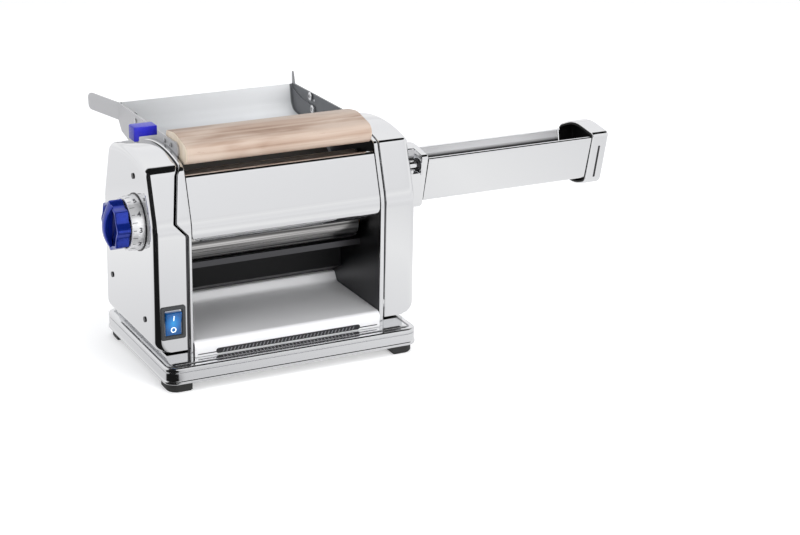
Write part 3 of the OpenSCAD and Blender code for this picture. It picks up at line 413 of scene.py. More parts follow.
def drawn_in(line, inset, closed=False):
    """A line moved inward by inset. Where a tight bend would make it cross itself, the
    crossing part is drawn out between its sound neighbours."""
    along = np.roll(line, -1, 0) - np.roll(line, 1, 0) if closed else np.gradient(line, axis=0)
    inward = np.c_[along[:, 1], -along[:, 0]] / np.linalg.norm(along, axis=1)[:, None]
    if closed and ((line.mean(0) - line) * inward).sum() < 0:
        inward = -inward
    moved = line + inward * inset
    apart = np.linalg.norm(moved[:, None] - line[None], axis=2).min(1)
    good = np.flatnonzero(apart > inset - 0.02)
    step = np.arange(len(line))
    period = len(line) if closed else None
    return np.stack([np.interp(step, good, moved[good, k], period=period) for k in (0, 1)], -1)


def strap(line, inner, outer, roll_in, roll_out, steps=5):
    """Columns of (x, y, z) that carry an outline from x = inner to x = outer, each either a
    number or one value per point, with both edges turned in along a quarter circle."""
    columns = [(inner + along, inset) for along, inset in quarter_round(roll_in, steps)]
    flat = outer - roll_out - inner - roll_in
    columns += [(inner + roll_in + flat * k, 0.0) for k in np.linspace(0, 1, 6)]
    columns += [(outer - along, inset) for along, inset in quarter_round(roll_out, steps)[-2::-1]]
    return [np.c_[x + np.zeros(len(line)), drawn_in(line, inset)] for x, inset in columns]


def seam_x(line, shoulder):
    """Where a housing meets its edge strip. With a shoulder, the seam steps out over the
    bend, leans back up the slope and runs on over the crown."""
    if not shoulder:
        return np.full(len(line), PLATE_X + 0.5)
    return np.interp(line[:, 1], [157, 171, 219, CREASE_Z], [117.5, 130.4, 122.4, 118.2])


def housing(name, side, shoulder):
    """The outline carried out from the seam and drawn in along a quarter round at the
    outer edge, then a flat side wall. A rounding lifts the lower outer corner."""
    line = whole_outline(shoulder)
    rings = strap(line, seam_x(line, shoulder), SIDE_X, SEAM_R, EDGE_R, 10)
    for ring in rings:
        ring[:, 2] = np.maximum(ring[:, 2], HOUSING_Z)
    edge = rings[-1]
    middle = edge * (1, 0, 1)
    rings += [edge * (1 - k) + middle * k for k in (0.02, *np.linspace(0, 1, 12)[1:])]
    points = np.array(rings)
    rise = np.clip(HOUSING_Z + LOWER_R - points[..., 2], 0, LOWER_R)
    drop = LOWER_R - np.sqrt(LOWER_R ** 2 - rise ** 2)
    points[..., 0] = PLATE_X + (points[..., 0] - PLATE_X) * (SIDE_X - PLATE_X - drop) / (SIDE_X - PLATE_X)
    shell = surface_mesh(name + "_shell", points * (side, 1, 1), mirror_steel, sharp=40,
                         inside=(side * 120.0, 0, 110))
    thicken(shell, 1.2, sharp=40)
    stands_for(shell, "machine", "polished_steel", name)
    return shell


STRIP_X, STRIP_FOOT_Z = 111.1, 19.6


def edge_strip(name, side, shoulder):
    """The bright band on a side plate's edge. It stops short of the housing, so that the
    seam between them stays dark."""
    line = whole_outline(shoulder)
    line = filled_in(np.vstack([(line[0, 0], STRIP_FOOT_Z), line, (line[-1, 0], STRIP_FOOT_Z)]), 4.0)
    outer = seam_x(line, shoulder) - (2.4 if shoulder else 1.2)
    points = np.array(strap(line, STRIP_X, outer, roll_in=0.8, roll_out=1.5))
    band = surface_mesh(name + "_band", points * (side, 1, 1), mirror_steel, sharp=40,
                        inside=(side * 114.0, 0, 110))
    thicken(band, 1.4, sharp=40)
    stands_for(band, "machine", "polished_steel", name)


housing("left_housing", -1, True)
right_shell = housing("right_housing", 1, False)
edge_strip("left_edge_strip", -1, True)
edge_strip("right_edge_strip", 1, False)


# --- Front cover ---
# The bright panel over the rollers: one polished sheet with a turned-in top edge,
# a long slope, a generous bend and a rolled lower lip with rounded corners.
def bent_panel(name, profile, half_width, finish, thickness, inside, corner=0.0, corner_z=0.0):
    """A profile in (y, z) carried across X from -half_width to half_width. Down to the
    height corner_z the width shrinks as a circle does, for rounded lower corners."""
    line, across = filled_in(profile, 1.5), 24
    length = np.r_[0, np.cumsum(np.linalg.norm(np.diff(line, axis=0), axis=1))]
    tip = length[np.argmax(line[:, 1] < corner_z)] if corner else length[-1]
    left = np.clip(corner - (tip - length), 0, corner)
    width = half_width - (corner - np.sqrt(np.maximum(corner ** 2 - left ** 2, 0)))
    x = np.linspace(-1, 1, across)[None, :] * width[:, None]
    points = np.stack([x, np.repeat(line[:, :1], across, 1), np.repeat(line[:, 1:], across, 1)], -1)
    panel = surface_mesh(name, points, finish, inside=inside)
    thicken(panel, thickness)
    return panel


cover = rounded([(-43.5, 218.5), (-61.6, 218.5), (-78.5, 167.0), (-78.5, 152.0), (-66.5, 144.0)],
                [5.5, 38.0, 11.0], 18)
front_cover = bent_panel("front_cover_panel", cover, 110.2, mirror_steel, 1.5, (0, 0, 150),
                         corner=13.0, corner_z=148.5)
stands_for(front_cover, "machine", "polished_steel", "front_cover")


# --- Chute ---
# A finely brushed tray carries the pasta out: a rolled step at the back, a flat
# floor, and a front folded down to the deck with a slotted vent in it.
def brushed(name, tint, rough, along="x", depth=0.00002):
    """Brushed sheet: streaks drawn out along one axis."""
    steel = Finish(name, tint, metal=1.0)
    stretch = {"x": (1.5, 140, 140), "y": (140, 1.5, 140), "z": (140, 140, 1.5)}[along]
    streaks = steel.noise(steel.where(scale=stretch), 6.0, 3.0, 0.65)
    broad = steel.noise(steel.where(), 8.0, 2.0)
    steel.set(Roughness=(streaks - 0.5) * 0.12 + (broad - 0.5) * 0.05 + rough)
    steel.relief(streaks, depth)
    return steel


def satin(name, tint, rough, metal, along="x"):
    """Softly shining sheet between bright metal and plain grey, streaked along one axis."""
    steel = brushed(name, tint, rough, along, 0.000012)
    steel.set(Metallic=metal)
    return steel


satin_steel = satin("satin_steel", (0.84, 0.84, 0.85), 0.42, 0.25)
chute_line = rounded([(48.0, 47.5), (36.5, 47.5), (30.0, 37.5), (-81.0, 37.5), (-81.0, 19.8)],
                     [4.0, 6.0, 6.0], 14)
chute = bent_panel("chute_tray", chute_line, 110.4, satin_steel, 1.4, (0, 0, -200))
stands_for(chute, "machine", "satin_steel", "chute")


# --- Vent ---
# A black moulded strip snapped into the chute's front: a long slot with round
# ends and a row of slanting ribs across it.
black_plastic = grained("black_plastic", (0.016, 0.016, 0.018), 0.36, 1400.0, 0.12, 0.00002)
rib_plastic = Finish("rib_plastic", (0.19, 0.19, 0.20), rough=0.30)
rib_plastic.relief(rib_plastic.noise(rib_plastic.where(), 1400.0, 2.0), 0.00002)
VENT_Z, VENT_LONG, VENT_HIGH, VENT_PITCH, FRONT_Y = 23.7, 172.0, 6.0, 4.3, -81.0


def rounded_ring(half_u, half_v, radius, steps=8):
    """A rectangle's outline with each corner an arc of radius, as (u, v) points in order."""
    sweep = np.arange(4)[:, None] * np.pi / 2 + np.linspace(0, np.pi / 2, steps + 1)[None, :]
    corner = np.array([(1, 1), (-1, 1), (-1, -1), (1, -1)])[:, None, :] * (half_u - radius, half_v - radius)
    return (corner + radius * np.stack([np.cos(sweep), np.sin(sweep)], -1)).reshape(-1, 2)


def closed_surface(name, rings, finish, sharp=32, loop_u=False):
    """A piece through closed rings of points, its two ends capped, turned so that the sum
    of its signed volumes is positive and its faces point outwards."""
    rings = np.asarray(rings, float)
    nu, nv = rings.shape[:2]
    quads = grid_faces(nu, nv, loop_u, True)
    points = rings.reshape(-1, 3)
    middle = points.mean(0)
    a, b, c, d = (points[quads[:, k]] - middle for k in range(4))
    volume = (np.einsum("ij,ij->i", a, np.cross(b, c)) + np.einsum("ij,ij->i", a, np.cross(c, d))).sum()
    faces = quads.tolist()
    if not loop_u:
        faces += [list(range(nv)), list(range(nu * nv - 1, (nu - 1) * nv - 1, -1))]
    if volume < 0:
        faces = [face[::-1] for face in faces]
    return mesh_piece(name, points, faces, finish, sharp)


def across_front(outline, y):
    """An (x, z) outline set upright at depth y."""
    return np.c_[outline[:, 0], np.full(len(outline), y), outline[:, 1]]


slot = rounded_ring(VENT_LONG / 2, VENT_HIGH / 2, VENT_HIGH / 2 - 0.01)
depths = ((1.0, FRONT_Y + 1.3), (1.0, FRONT_Y - 0.10), (0.998, FRONT_Y - 0.18))
vent_rings = [across_front(slot * k + (0, VENT_Z), y) for k, y in depths]
vent = closed_surface("vent_slot", vent_rings, black_plastic)
stands_for(vent, "machine", "black_plastic", "vent_strip")

# The ribs, each a slanting bar with a ridged front: eight points and six faces
count = int((VENT_LONG - 2.4 * VENT_HIGH) / VENT_PITCH / 2)
at = np.arange(-count, count + 1) * VENT_PITCH
bar = np.array([(-1.45, -2.3, -0.1), (-0.05, -2.3, -0.1), (1.75, 1.3, -0.1), (0.35, 1.3, -0.1),
                (-1.15, -2.1, -0.55), (-0.35, -2.1, -0.55), (1.35, 1.1, -0.55), (0.65, 1.1, -0.55)])
ribs = at[:, None, None] * (1, 0, 0) + (bar[:, (0, 2, 1)] + (0, FRONT_Y, VENT_Z))[None]
faces = np.array([(4, 5, 6, 7), (0, 1, 5, 4), (1, 2, 6, 5), (2, 3, 7, 6), (3, 0, 4, 7), (3, 2, 1, 0)])
faces = np.arange(len(at))[:, None, None] * 8 + faces
ribs = mesh_piece("vent_ribs", ribs.reshape(-1, 3), faces.reshape(-1, 4), rib_plastic, sharp=50)
stands_for(ribs, "machine", "black_plastic")

# A narrow black strip beside each end of the vent: painted shade for the shadow gap between the chute's front
# and the deck
SHADOW_GAP_X, SHADOW_GAP_Z = 95.5, 22.8
for side, end in ((-1, "left"), (1, "right")):
    shadow_gap = rounded_ring(11.5, 0.45, 0.4, 4) + (side * SHADOW_GAP_X, SHADOW_GAP_Z)
    piece = closed_surface(end + "_slit", [across_front(shadow_gap, y) for y in (-81.5, -79.9)], black_plastic)
    stands_for(piece, "machine", "black_plastic")


# --- Base ---
# A pressed steel tray: an upright rim with a bead and a groove under its rolled
# lip, a narrow channel behind the lip, and the raised deck. It stands on four
# rubber feet, each held by a screw through the base plate.
base_steel = polished("base_steel", (0.76, 0.765, 0.775), 0.13, 0.00004)
rim = rounded([(7.0, 1.4), (7.0, 0.0), (0.0, 0.0), (0.0, 3.0), (0.9, 4.0), (0.9, 13.0), (2.1, 13.0),
               (2.1, 14.3), (0.7, 14.3), (0.7, 19.0), (7.0, 19.0), (7.0, 16.2), (9.5, 16.2), (9.5, 19.5),
               (20.0, 19.5)],
              [0.3, 1.3, 0.6, 0.9, 0.3, 0.2, 0.2, 0.4, 2.3, 0.6, 0.3, 0.3, 0.6], 8)
BASE_X, BASE_Y, BASE_R = 150.0, 101.0, 14.0
rim_loops = [np.c_[rounded_ring(BASE_X - inset, BASE_Y - inset, max(BASE_R - inset, 1.0), 10), np.full(44, z)]
             for inset, z in rim]
tray = closed_surface("base_tray_pressing", rim_loops, base_steel)
stands_for(tray, "machine", "polished_steel", "base_tray")


# --- Side plates and inner frame ---
# Thick side plates carry the bearings, and tie rods hold them apart. The motor's cover
# behind the chute is painted black. Whatever isn't named below stays plain steel.
dark_steel = brushed("dark_steel", (0.085, 0.085, 0.09), 0.34, "z")
plain_steel = brushed("plain_steel", (0.60, 0.60, 0.61), 0.24)
black_paint = grained("black_paint", (0.004, 0.004, 0.0045), 0.5, 900.0, 0.1, 0.00004, detail=3.0,
                      Specular_IOR_Level=0.25)
dress(plain_steel, *nodes)
dress(dark_steel, "left_side_plate", "right_side_plate", "housing_screws", "base_plate", "tie_rods",
      "front_scraper", "rear_scraper")
dress(base_steel, "foot_rails")
dress(mirror_steel, "rear_cover")
dress(black_paint, "motor_cover")


# --- Rollers and drive ---
# Two ground steel rollers: the front one turns in brass bushes, the rear one in sliding
# bearings. Cut gears, dark with oil in places, bring the motor's turning down to them.
ground_steel = brushed("ground_steel", (0.40, 0.39, 0.38), 0.20, "x", 0.00003)
# The dark and bright bands along the rollers are painted reflections, set in the rollers' own coordinates
painted_reflections = ground_steel.noise(ground_steel.where(scale=(0.4, 55, 55)), 6.0, 2.0)
ground_steel.set(Base_Color=ground_steel.ramp(painted_reflections, (0.38, (0.05, 0.05, 0.05)), (0.52, (0.30, 0.295, 0.29)),
                                              (0.66, (0.60, 0.59, 0.58))))
oily = ((0.35, (0.20, 0.19, 0.18)), (0.65, (0.40, 0.40, 0.41)))
gear_steel = grained("gear_steel", (0.30, 0.30, 0.31), 0.32, 60.0, 0.25, 0.00002, oily, metal=1.0,
                     detail=4.0, broken=0.6)
bloom = ((0.3, (0.50, 0.31, 0.10)), (0.7, (0.66, 0.46, 0.18)))
brass = grained("bush_brass", (0.60, 0.40, 0.14), 0.3, 90.0, 0.2, 0.00002, bloom, metal=1.0, detail=4.0)
motor_paint = grained("motor_paint", (0.03, 0.032, 0.035), 0.4, 500.0, 0.2, 0.00006)
dress(ground_steel, "front_roller", "rear_roller")
dress(gear_steel, "front_mesh_gear", "rear_mesh_gear", "drive_gear", "motor_pinion", "reduction_gear",
      "output_coupling", "scroll_discs", "left_slider", "right_slider", "cutter_front_gear",
      "cutter_rear_gear")
dress(brass, "front_bushes")
dress(motor_paint, "motor")


# --- Feet and gland ---
# Four feet of moulded rubber and a rubber cable gland, dull black and faintly mottled
# by the pores of the rubber.
pores = ((0.3, (0.009, 0.009, 0.009)), (0.75, (0.024, 0.024, 0.023)))
rubber = grained("foot_rubber", (0.012, 0.012, 0.012), 0.65, 700.0, 0.2, 0.00005, pores, detail=4.0)
dress(rubber, "feet", "cable_gland")


# --- Hopper ---
# Two satin steel arms carry the folded sheet that the dough slides down. They
# pivot on the side plates, and their wings flare out behind the back wall.
hopper_satin = satin("hopper_satin", (0.56, 0.56, 0.57), 0.40, 0.7, "z")
# The right arm gets a darker copy of the arm satin: painted shade
arm_dark = satin("arm_dark", (0.17, 0.175, 0.185), 0.38, 0.5, "z")

# Painted light and shade on the sheet: it grows paler towards its right side, is painted dark at its foot
# over the rollers, and its flanges beside the arms are painted duller, as shade
FLANGE_X = 0.1045
sheet_satin = satin("sheet_satin", (0.74, 0.75, 0.76), 0.45, 0.25)
sheet_x, _, sheet_z = sheet_satin.axes()
sheet_painted_sheen = sheet_satin.ramp(sheet_x * 4.0 + 0.5, (0.08, (0.52, 0.53, 0.54)), (0.40, (0.68, 0.69, 0.70)),
                               (0.75, (0.80, 0.81, 0.82)))
sheet_painted_foot_shade = sheet_satin.ramp(sheet_z * 4.0, (0.80, BLACK), (0.865, WHITE))
sheet_painted_light = sheet_satin.blend(sheet_painted_foot_shade, (0.02, 0.016, 0.012), sheet_painted_sheen)
flange_painted_shade = ((sheet_x.math("ABSOLUTE") - FLANGE_X) * 1000.0).math("MINIMUM", 1.0, clamp=True)
sheet_satin.set(Base_Color=sheet_satin.blend(flange_painted_shade, sheet_painted_light, (0.16, 0.165, 0.175)))
dress(hopper_satin, "left_hopper_arm")
dress(arm_dark, "right_hopper_arm")
dress(sheet_satin, "hopper_sheet")


def disc(x, y, z, r, count=64):
    """A ring of radius r about an axis along X: y + r * cos and z + r * sin of each angle."""
    spin = once_round(count)
    return np.c_[np.full(count, x), y + r * np.cos(spin), z + r * np.sin(spin)]


# Two domed washers on each arm, each dimpled: rings at their radius and lift off the arm
ARM_FACE_X, WASHER = 107.3, ((5.0, 0.0), (5.0, 0.4), (4.4, 1.0), (2.6, 1.2), (2.2, 0.9), (2.0, 0.1))
for side, end in ((-1, "left"), (1, "right")):
    for k, (y, z) in enumerate(((98.6, 243.0), (92.4, 229.0))):
        rings = [disc(side * (ARM_FACE_X - lift), y, z, r, 40) for r, lift in WASHER]
        washer = closed_surface("%s_washer_%d" % (end, k), rings, mirror_steel, 40)
        stands_for(washer, "hopper", "polished_steel")


# --- Wooden guide ---
# A planed beech bar with a rounded nose, screwed to both arms. Its grain runs
# along the bar, with short dark pores, and its sawn ends are paler.
GUIDE_HALF, GUIDE_EDGE = 108.3, 1.2
BEECH_PALE, BEECH_MID, BEECH_DARK = (0.45, 0.355, 0.29), (0.35, 0.25, 0.19), (0.19, 0.105, 0.065)


def rounded_loop(corners, radii, steps=10):
    """A closed outline with an arc at each corner, as rounded() draws it."""
    return rounded([corners[-1], *corners, corners[0]], radii, steps)[1:-1]


def rounded_ends(start, end, radius, steps):
    """Where the rings of a bar lie, and how far each is drawn in, with both ends rounded."""
    near = quarter_round(radius, steps)
    return np.vstack([near + (start, 0), near[::-1] * (-1, 1) + (end, 0)])


def bar_along_x(name, outline, x0, x1, edge, finish):
    """A closed (y, z) outline carried from x0 to x1. Over the last edge millimetres it is
    drawn in along a quarter circle, so both ends have rounded edges and flat faces."""
    rings = [np.c_[np.full(len(outline), x), drawn_in(outline, inset, True)]
             for x, inset in rounded_ends(x0, x1, edge, 5)]
    return closed_surface(name, rings, finish)


beech = Finish("beech", BEECH_MID, rough=0.5)
bar = beech.where(scale=(1.0, 5.5, 5.5), turn=(0.25, 0, 0.02), move=(0.03, 0.01, 0))
figure = beech.noise(bar, 5.5, 3.0, 0.5, 0.9)
lines = beech.noise(beech.where(scale=(0.5, 30, 30), turn=(0, 0, 0.03)), 7.0, 4.0, 0.6)
pores = beech.noise(beech.where(scale=(14, 260, 260)), 5.0, 2.0, 0.6)
tone = beech.ramp(figure * 0.72 + lines * 0.28, (0.38, BEECH_DARK), (0.455, BEECH_MID), (0.54, BEECH_PALE),
                  (0.72, (0.52, 0.42, 0.35)))
flecked = beech.blend(beech.node("MapRange", None, pores, 0.66, 0.74) * 0.35, tone, BEECH_DARK)
along, _, _ = beech.axes()
ends = beech.node("MapRange", None, along.math("ABSOLUTE"), (GUIDE_HALF - 0.5) * MM, (GUIDE_HALF - 0.1) * MM)
rings = beech.noise(beech.where(scale=(1, 40, 8)), 6.0, 3.0)
sawn = beech.ramp(rings, (0.3, (0.80, 0.66, 0.50)), (0.6, (0.90, 0.78, 0.63)))
beech.set(Base_Color=beech.blend(ends, flecked, sawn), Roughness=(lines - 0.5) * 0.2 + 0.46)
beech.relief(pores * 0.5 + lines * 0.5, 0.00006)
section = filled_in(rounded_loop([(-61.5, 227.0), (0.5, 227.0), (0.5, 252.0), (-24.3, 256.0), (-61.5, 247.5)],
                                 [11.0, 3.0, 3.0, 40.0, 10.0], 12), 2.5)
guide = bar_along_x("beech_guide", section, -GUIDE_HALF, GUIDE_HALF, GUIDE_EDGE, beech)
stands_for(guide, "hopper", "beech", "wooden_guide")


# --- Safety tab ---
# A bright blue plastic box on the left arm, open below, that presses the safety switch
# in the housing when the hopper is down.
def glossy_plastic(name, tint, rough=0.26):
    """Moulded plastic: a smooth skin with faint flow marks and a soft coat."""
    plastic = Finish(name, tint, rough=rough, Specular_IOR_Level=0.4)
    flow = plastic.noise(plastic.where(), 35.0, 2.0)
    skin = plastic.noise(plastic.where(), 900.0, 2.0)
    deep, lit = tuple(0.86 * c for c in tint), tuple(min(1.0, 1.14 * c) for c in tint)
    plastic.set(Base_Color=plastic.ramp(flow, (0.3, deep), (0.7, lit)), Roughness=(skin - 0.5) * 0.1 + rough)
    plastic.relief(skin * 0.4 + flow, 0.00002)
    return plastic


tab_plastic = glossy_plastic("tab_plastic", (0.020, 0.020, 0.42))
ARM_OUT, TAB_OUT, TAB_TOP, TAB_FOOT, TAB_Y = -110.8, 26.4, 252.4, 236.4, (20.0, 38.0)
tab_line = rounded_loop([(ARM_OUT, TAB_TOP), (ARM_OUT - TAB_OUT, TAB_TOP), (ARM_OUT - TAB_OUT, TAB_FOOT),
                         (ARM_OUT - TAB_OUT + 5, TAB_FOOT), (ARM_OUT - TAB_OUT + 5, TAB_TOP - 10.6),
                         (ARM_OUT, TAB_TOP - 10.6)], [0.6, 2.0, 0.8, 0.8, 1.6, 0.6], 6)
pivot = np.array((ARM_OUT - TAB_OUT / 2, TAB_TOP - 6))
tab_rings = [across_front((tab_line - pivot) * (1 - inset / 15, 1 - inset / 8) + pivot, y)
             for y, inset in rounded_ends(*TAB_Y, 0.8, 4)]
tab = closed_surface("safety_hook", tab_rings, tab_plastic)
stands_for(tab, "hopper", "blue_plastic", "safety_tab")
tab.visible_glossy = False


# --- Thickness knob ---
# A blue moulded knob with eight lobes and an arched grip across its face, turning
# on a bright ring engraved with the settings.
KNOB_Y, KNOB_Z, KNOB_R, LOBES = -31.0, 164.0, 27.7, 8
knob_plastic = glossy_plastic("knob_plastic", (0.008, 0.030, 0.33), 0.18)
knob_plastic.set(Metallic=0.7, Coat_Weight=0.5, Coat_Roughness=0.08)
valley = 3.6 * np.abs(np.sin(LOBES * once_round(320) / 2)) ** 1.2
knob_line = rounded([(-170.6, 8.0), (-170.6, KNOB_R), (-185.4, KNOB_R), (-185.6, KNOB_R - 3.2),
                     (-183.0, KNOB_R - 6), (-182.6, 0.8)], [0.8, 1.3, 0.8, 3.0], 10)
knob_rings = [disc(x, KNOB_Y, KNOB_Z, reach - valley * min(1.0, (reach / KNOB_R) ** 3), 320)
              for x, reach in filled_in(knob_line, 1.5)]
knob = closed_surface("knob_body", knob_rings, knob_plastic, sharp=60)
stands_for(knob, "knob_set", "blue_plastic", "knob")

# The grip: a ridge whose top is an arc of radius 44 and whose section is a
# superellipse, broad at its foot and rounded on top
reach = np.linspace(-25.0, 25.0, 49)
ridge = 8.9 - (44.0 - np.sqrt(44.0 ** 2 - reach ** 2))
sweep = np.linspace(0, np.pi, 33)
wide = 6.6 * np.sign(np.cos(sweep)) * np.abs(np.cos(sweep)) ** 0.7
tall = np.abs(np.sin(sweep)) ** 0.55
lean = math.radians(10)
deep = 184.2 + ridge[:, None] * tall
wide, far = np.broadcast_arrays(wide, reach[:, None])
grip = closed_surface("knob_grip", np.stack([-deep, KNOB_Y + wide * math.cos(lean) - far * math.sin(lean),
                                             KNOB_Z + wide * math.sin(lean) + far * math.cos(lean)], -1),
                      knob_plastic, sharp=60)
stands_for(grip, "knob_set", "blue_plastic")


# --- Dial ring ---
# A satin steel ring on the housing, cut with ten numbers and a fine mark between each
# two, with a thin black ring behind it that is painted shade where ring meets housing.
RING_X0, RING_X1, RING_R0, RING_R1 = -155.1, -169.9, 30.2, 28.8
NUMBER_STEP, NUMBER_X = 33.3, -160.6


def turned(name, outline, finish):
    """A closed (x, r) outline spun about the knob's axis."""
    spin = once_round(128)[:, None]
    x, r = outline.T[:, None, :]
    rings = np.stack([x + 0 * spin, KNOB_Y + r * np.cos(spin), KNOB_Z + r * np.sin(spin)], -1)
    return closed_surface(name, rings, finish, loop_u=True)


ring_steel = satin("ring_steel", (0.80, 0.80, 0.81), 0.24, 0.6, "y")
ring_line = rounded_loop([(RING_X0, 26.4), (RING_X0, RING_R0), (RING_X1, RING_R1), (RING_X1, 26.4)],
                         [0.3, 0.5, 0.7, 0.3], 6)
stands_for(turned("dial_ring_band", ring_line, ring_steel), "machine", "polished_steel", "dial_ring")
# The thin black ring is painted shade between the dial ring and the housing
shade_ring_line = rounded_loop([(-155.05, 27.0), (-155.05, 31.6), (-155.8, 31.4), (-156.0, 27.0)],
                           [0.1, 0.4, 0.4, 0.1], 4)
stands_for(turned("dial_gasket", shade_ring_line, black_plastic), "machine", "black_plastic")
engraving = Finish("engraving", (0.03, 0.03, 0.035), rough=0.5)
etched = engraving.noise(engraving.where(), 1200.0, 2.0)
engraving.set(Base_Color=engraving.ramp(etched, (0.3, (0.02, 0.02, 0.025)), (0.7, (0.06, 0.06, 0.07))))


def drawn_text(name, text, size, place, finish):
    """Flat letters made a mesh, then carried by place(u, v) to where they belong."""
    letters = bpy.data.curves.new(name, "FONT")
    letters.body, letters.size, letters.align_x, letters.align_y = text, size, "CENTER", "CENTER"
    letters.offset = size * 0.03
    draft = placed(name + "_draft", letters)
    bpy.context.view_layer.update()
    mesh = bpy.data.meshes.new_from_object(draft.evaluated_get(bpy.context.evaluated_depsgraph_get()))
    bpy.data.objects.remove(draft)
    bpy.data.curves.remove(letters)
    flat = np.empty(len(mesh.vertices) * 3)
    mesh.vertices.foreach_get("co", flat)
    u, v = flat.reshape(-1, 3)[:, :2].T
    mesh.vertices.foreach_set("co", (np.stack(place(u, v), -1) * MM).ravel())
    mesh.materials.clear()
    mesh.materials.append(finish.material)
    mesh.update()
    mesh.name = name
    return placed(name, mesh)


def on_ring(angle, x_mid):
    """Wraps letters round the ring: u runs along the axis and v climbs the front."""
    def place(u, v):
        x = x_mid + u
        r = RING_R0 + (RING_R1 - RING_R0) * (x - RING_X0) / (RING_X1 - RING_X0) + 0.1
        turn = angle - v / r
        return x, KNOB_Y + r * np.cos(turn), KNOB_Z + r * np.sin(turn)
    return place


for number in range(10):
    angle = math.radians(180 - NUMBER_STEP * (number - 3))
    mark = drawn_text("dial_number_%d" % number, str(number), 7.6, on_ring(angle, NUMBER_X), engraving)
    stands_for(mark, "machine", "black_plastic")
tick_u, tick_v = np.array([(-2.6, 2.6, 2.6, -2.6), (-0.35, -0.35, 0.35, 0.35)])
tick_points = []
for k in range(-6, 14):
    size, x_mid = (1.0, -166.2) if k % 2 else (0.7, -166.8)
    place = on_ring(math.radians(180 - NUMBER_STEP / 2 * k), x_mid)
    tick_points.append(np.stack(place(tick_u * size, tick_v), -1))
ticks = mesh_piece("dial_ticks", np.vstack(tick_points), np.arange(80).reshape(-1, 4), engraving)
stands_for(ticks, "machine", "black_plastic")


# --- Switch ---
# A snap-in rocker switch: a dark bezel round a translucent blue rocker lit from
# inside, with the on and off marks moulded in white.
SWITCH_X, SWITCH_Z = -134.0, 63.0
bezel_plastic = grained("bezel_plastic", (0.035, 0.037, 0.040), 0.42, 1600.0, 0.2, 0.00003)
bezel_line = rounded([(14.0, -78.9), (14.0, -81.0), (10.4, -81.0), (9.5, -79.6), (9.5, -60.0)],
                     [0.8, 0.8, 0.5], 6)
bezel_rings = [across_front(rounded_ring(w, w + 4.5, 2.4 if w > 12 else 1.2) + (SWITCH_X, SWITCH_Z), y)
               for w, y in bezel_line]
bezel = closed_surface("switch_frame", bezel_rings, bezel_plastic)
stands_for(bezel, "machine", "black_plastic", "switch_bezel")

lens_blue = Finish("lens_blue", (0.004, 0.05, 0.16), rough=0.16, Emission_Strength=1.0, Coat_Weight=0.5)
lens_x, _, lens_z = lens_blue.axes()
across, rise = lens_x - SWITCH_X * MM, lens_z - SWITCH_Z * MM
falloff = (across * across * 9000.0 + rise * rise * 5200.0).math("POWER", 0.5)
milk = lens_blue.noise(lens_blue.where(), 160.0, 3.0)
lit = lens_blue.ramp(falloff + (milk - 0.5) * 0.15, (0.0, (0.02, 0.30, 0.62)), (0.45, (0.006, 0.13, 0.36)),
                     (0.9, (0.001, 0.02, 0.07)))
lens_blue.set(Emission_Color=lit, Roughness=milk * 0.1 + 0.12)
ROCK_Y, ROCK_TILT = -73.0, math.radians(7)


def on_rocker(y, z):
    """Turns rocker (y, z) about its pin to where it rests."""
    return (ROCK_Y + y * math.cos(ROCK_TILT) - z * math.sin(ROCK_TILT),
            SWITCH_Z + y * math.sin(ROCK_TILT) + z * math.cos(ROCK_TILT))


rocker_line = rounded_loop([(-8.95, 13.0), (-7.2, 0.0), (-8.95, -13.0), (-2.0, -12.9), (4.0, -4.0),
                            (4.0, 4.0), (-2.0, 12.9)], [0.9, 14.0, 0.9, 2.0, 1.0, 1.0, 2.0], 8)
rocker_line = np.stack(on_rocker(*rocker_line.T), -1)
rocker = bar_along_x("rocker_lens", rocker_line, SWITCH_X - 8.9, SWITCH_X + 8.9, 0.7, lens_blue)
stands_for(rocker, "rocker", "lens_blue", "switch_rocker")
mark_white = Finish("mark_white", (0.80, 0.86, 0.92), rough=0.4, Emission_Strength=0.35)
milk = mark_white.noise(mark_white.where(), 600.0)
mark_white.set(Emission_Color=mark_white.ramp(milk, (0.3, (0.6, 0.75, 0.9)), (0.7, (0.8, 0.9, 1.0))))


def on_lens(half):
    """Lays marks on the upper (half 1) or lower (half -1) slope of the rocker."""
    def place(u, v):
        z = half * 6.8 + v
        y, z = on_rocker(-7.2 - 1.75 * np.abs(z) / 13.0 - 0.06, z)
        return SWITCH_X + u, y, z
    return place


bar_u, bar_v = np.array([(-0.55, 0.55, 0.55, -0.55), (-3.1, -3.1, 3.1, 3.1)])
on = mesh_piece("mark_on", np.stack(on_lens(1)(bar_u, bar_v), -1), [(0, 1, 2, 3)], mark_white)
stands_for(on, "rocker", "lens_blue")
spin = once_round(40)[:, None]
wide = np.array([3.1, 2.05])[None, :]
ring = np.stack(on_lens(-1)(wide * np.cos(spin), wide * np.sin(spin)), -1)
off = surface_mesh("mark_off", ring, mark_white, loop_u=True)
stands_for(off, "rocker", "lens_blue")


# --- Cutter ---
# The clip-on noodle cutter: two folded covers between cast end caps. The inner
# cap has an open corner that shows the locating pin; the outer one has a slot.
COVER_X0, COVER_X1, CUTTER_X0, CUTTER_X1 = 179.0, 394.0, 157.0, 416.0

# The rear cover is bright steel outside; inside it is satin, with painted shade below the combs: black under
# about 0.18 m
trough_satin = satin("trough_satin", (0.90, 0.90, 0.91), 0.35, 0.2)
_, _, height = trough_satin.axes()
facing = trough_satin.node("SeparateXYZ", None, trough_satin.node("NewGeometry", out="Normal"), out="Y")
outside = facing.math("GREATER_THAN", 0.0)
inner_painted_shade = trough_satin.ramp(height * 4.0, (0.722, (0.02, 0.02, 0.02)), (0.738, (0.92, 0.92, 0.93)))
trough_satin.set(Base_Color=trough_satin.blend(outside, inner_painted_shade, (0.78, 0.785, 0.79)),
                 Metallic=outside * 0.9 + 0.1)


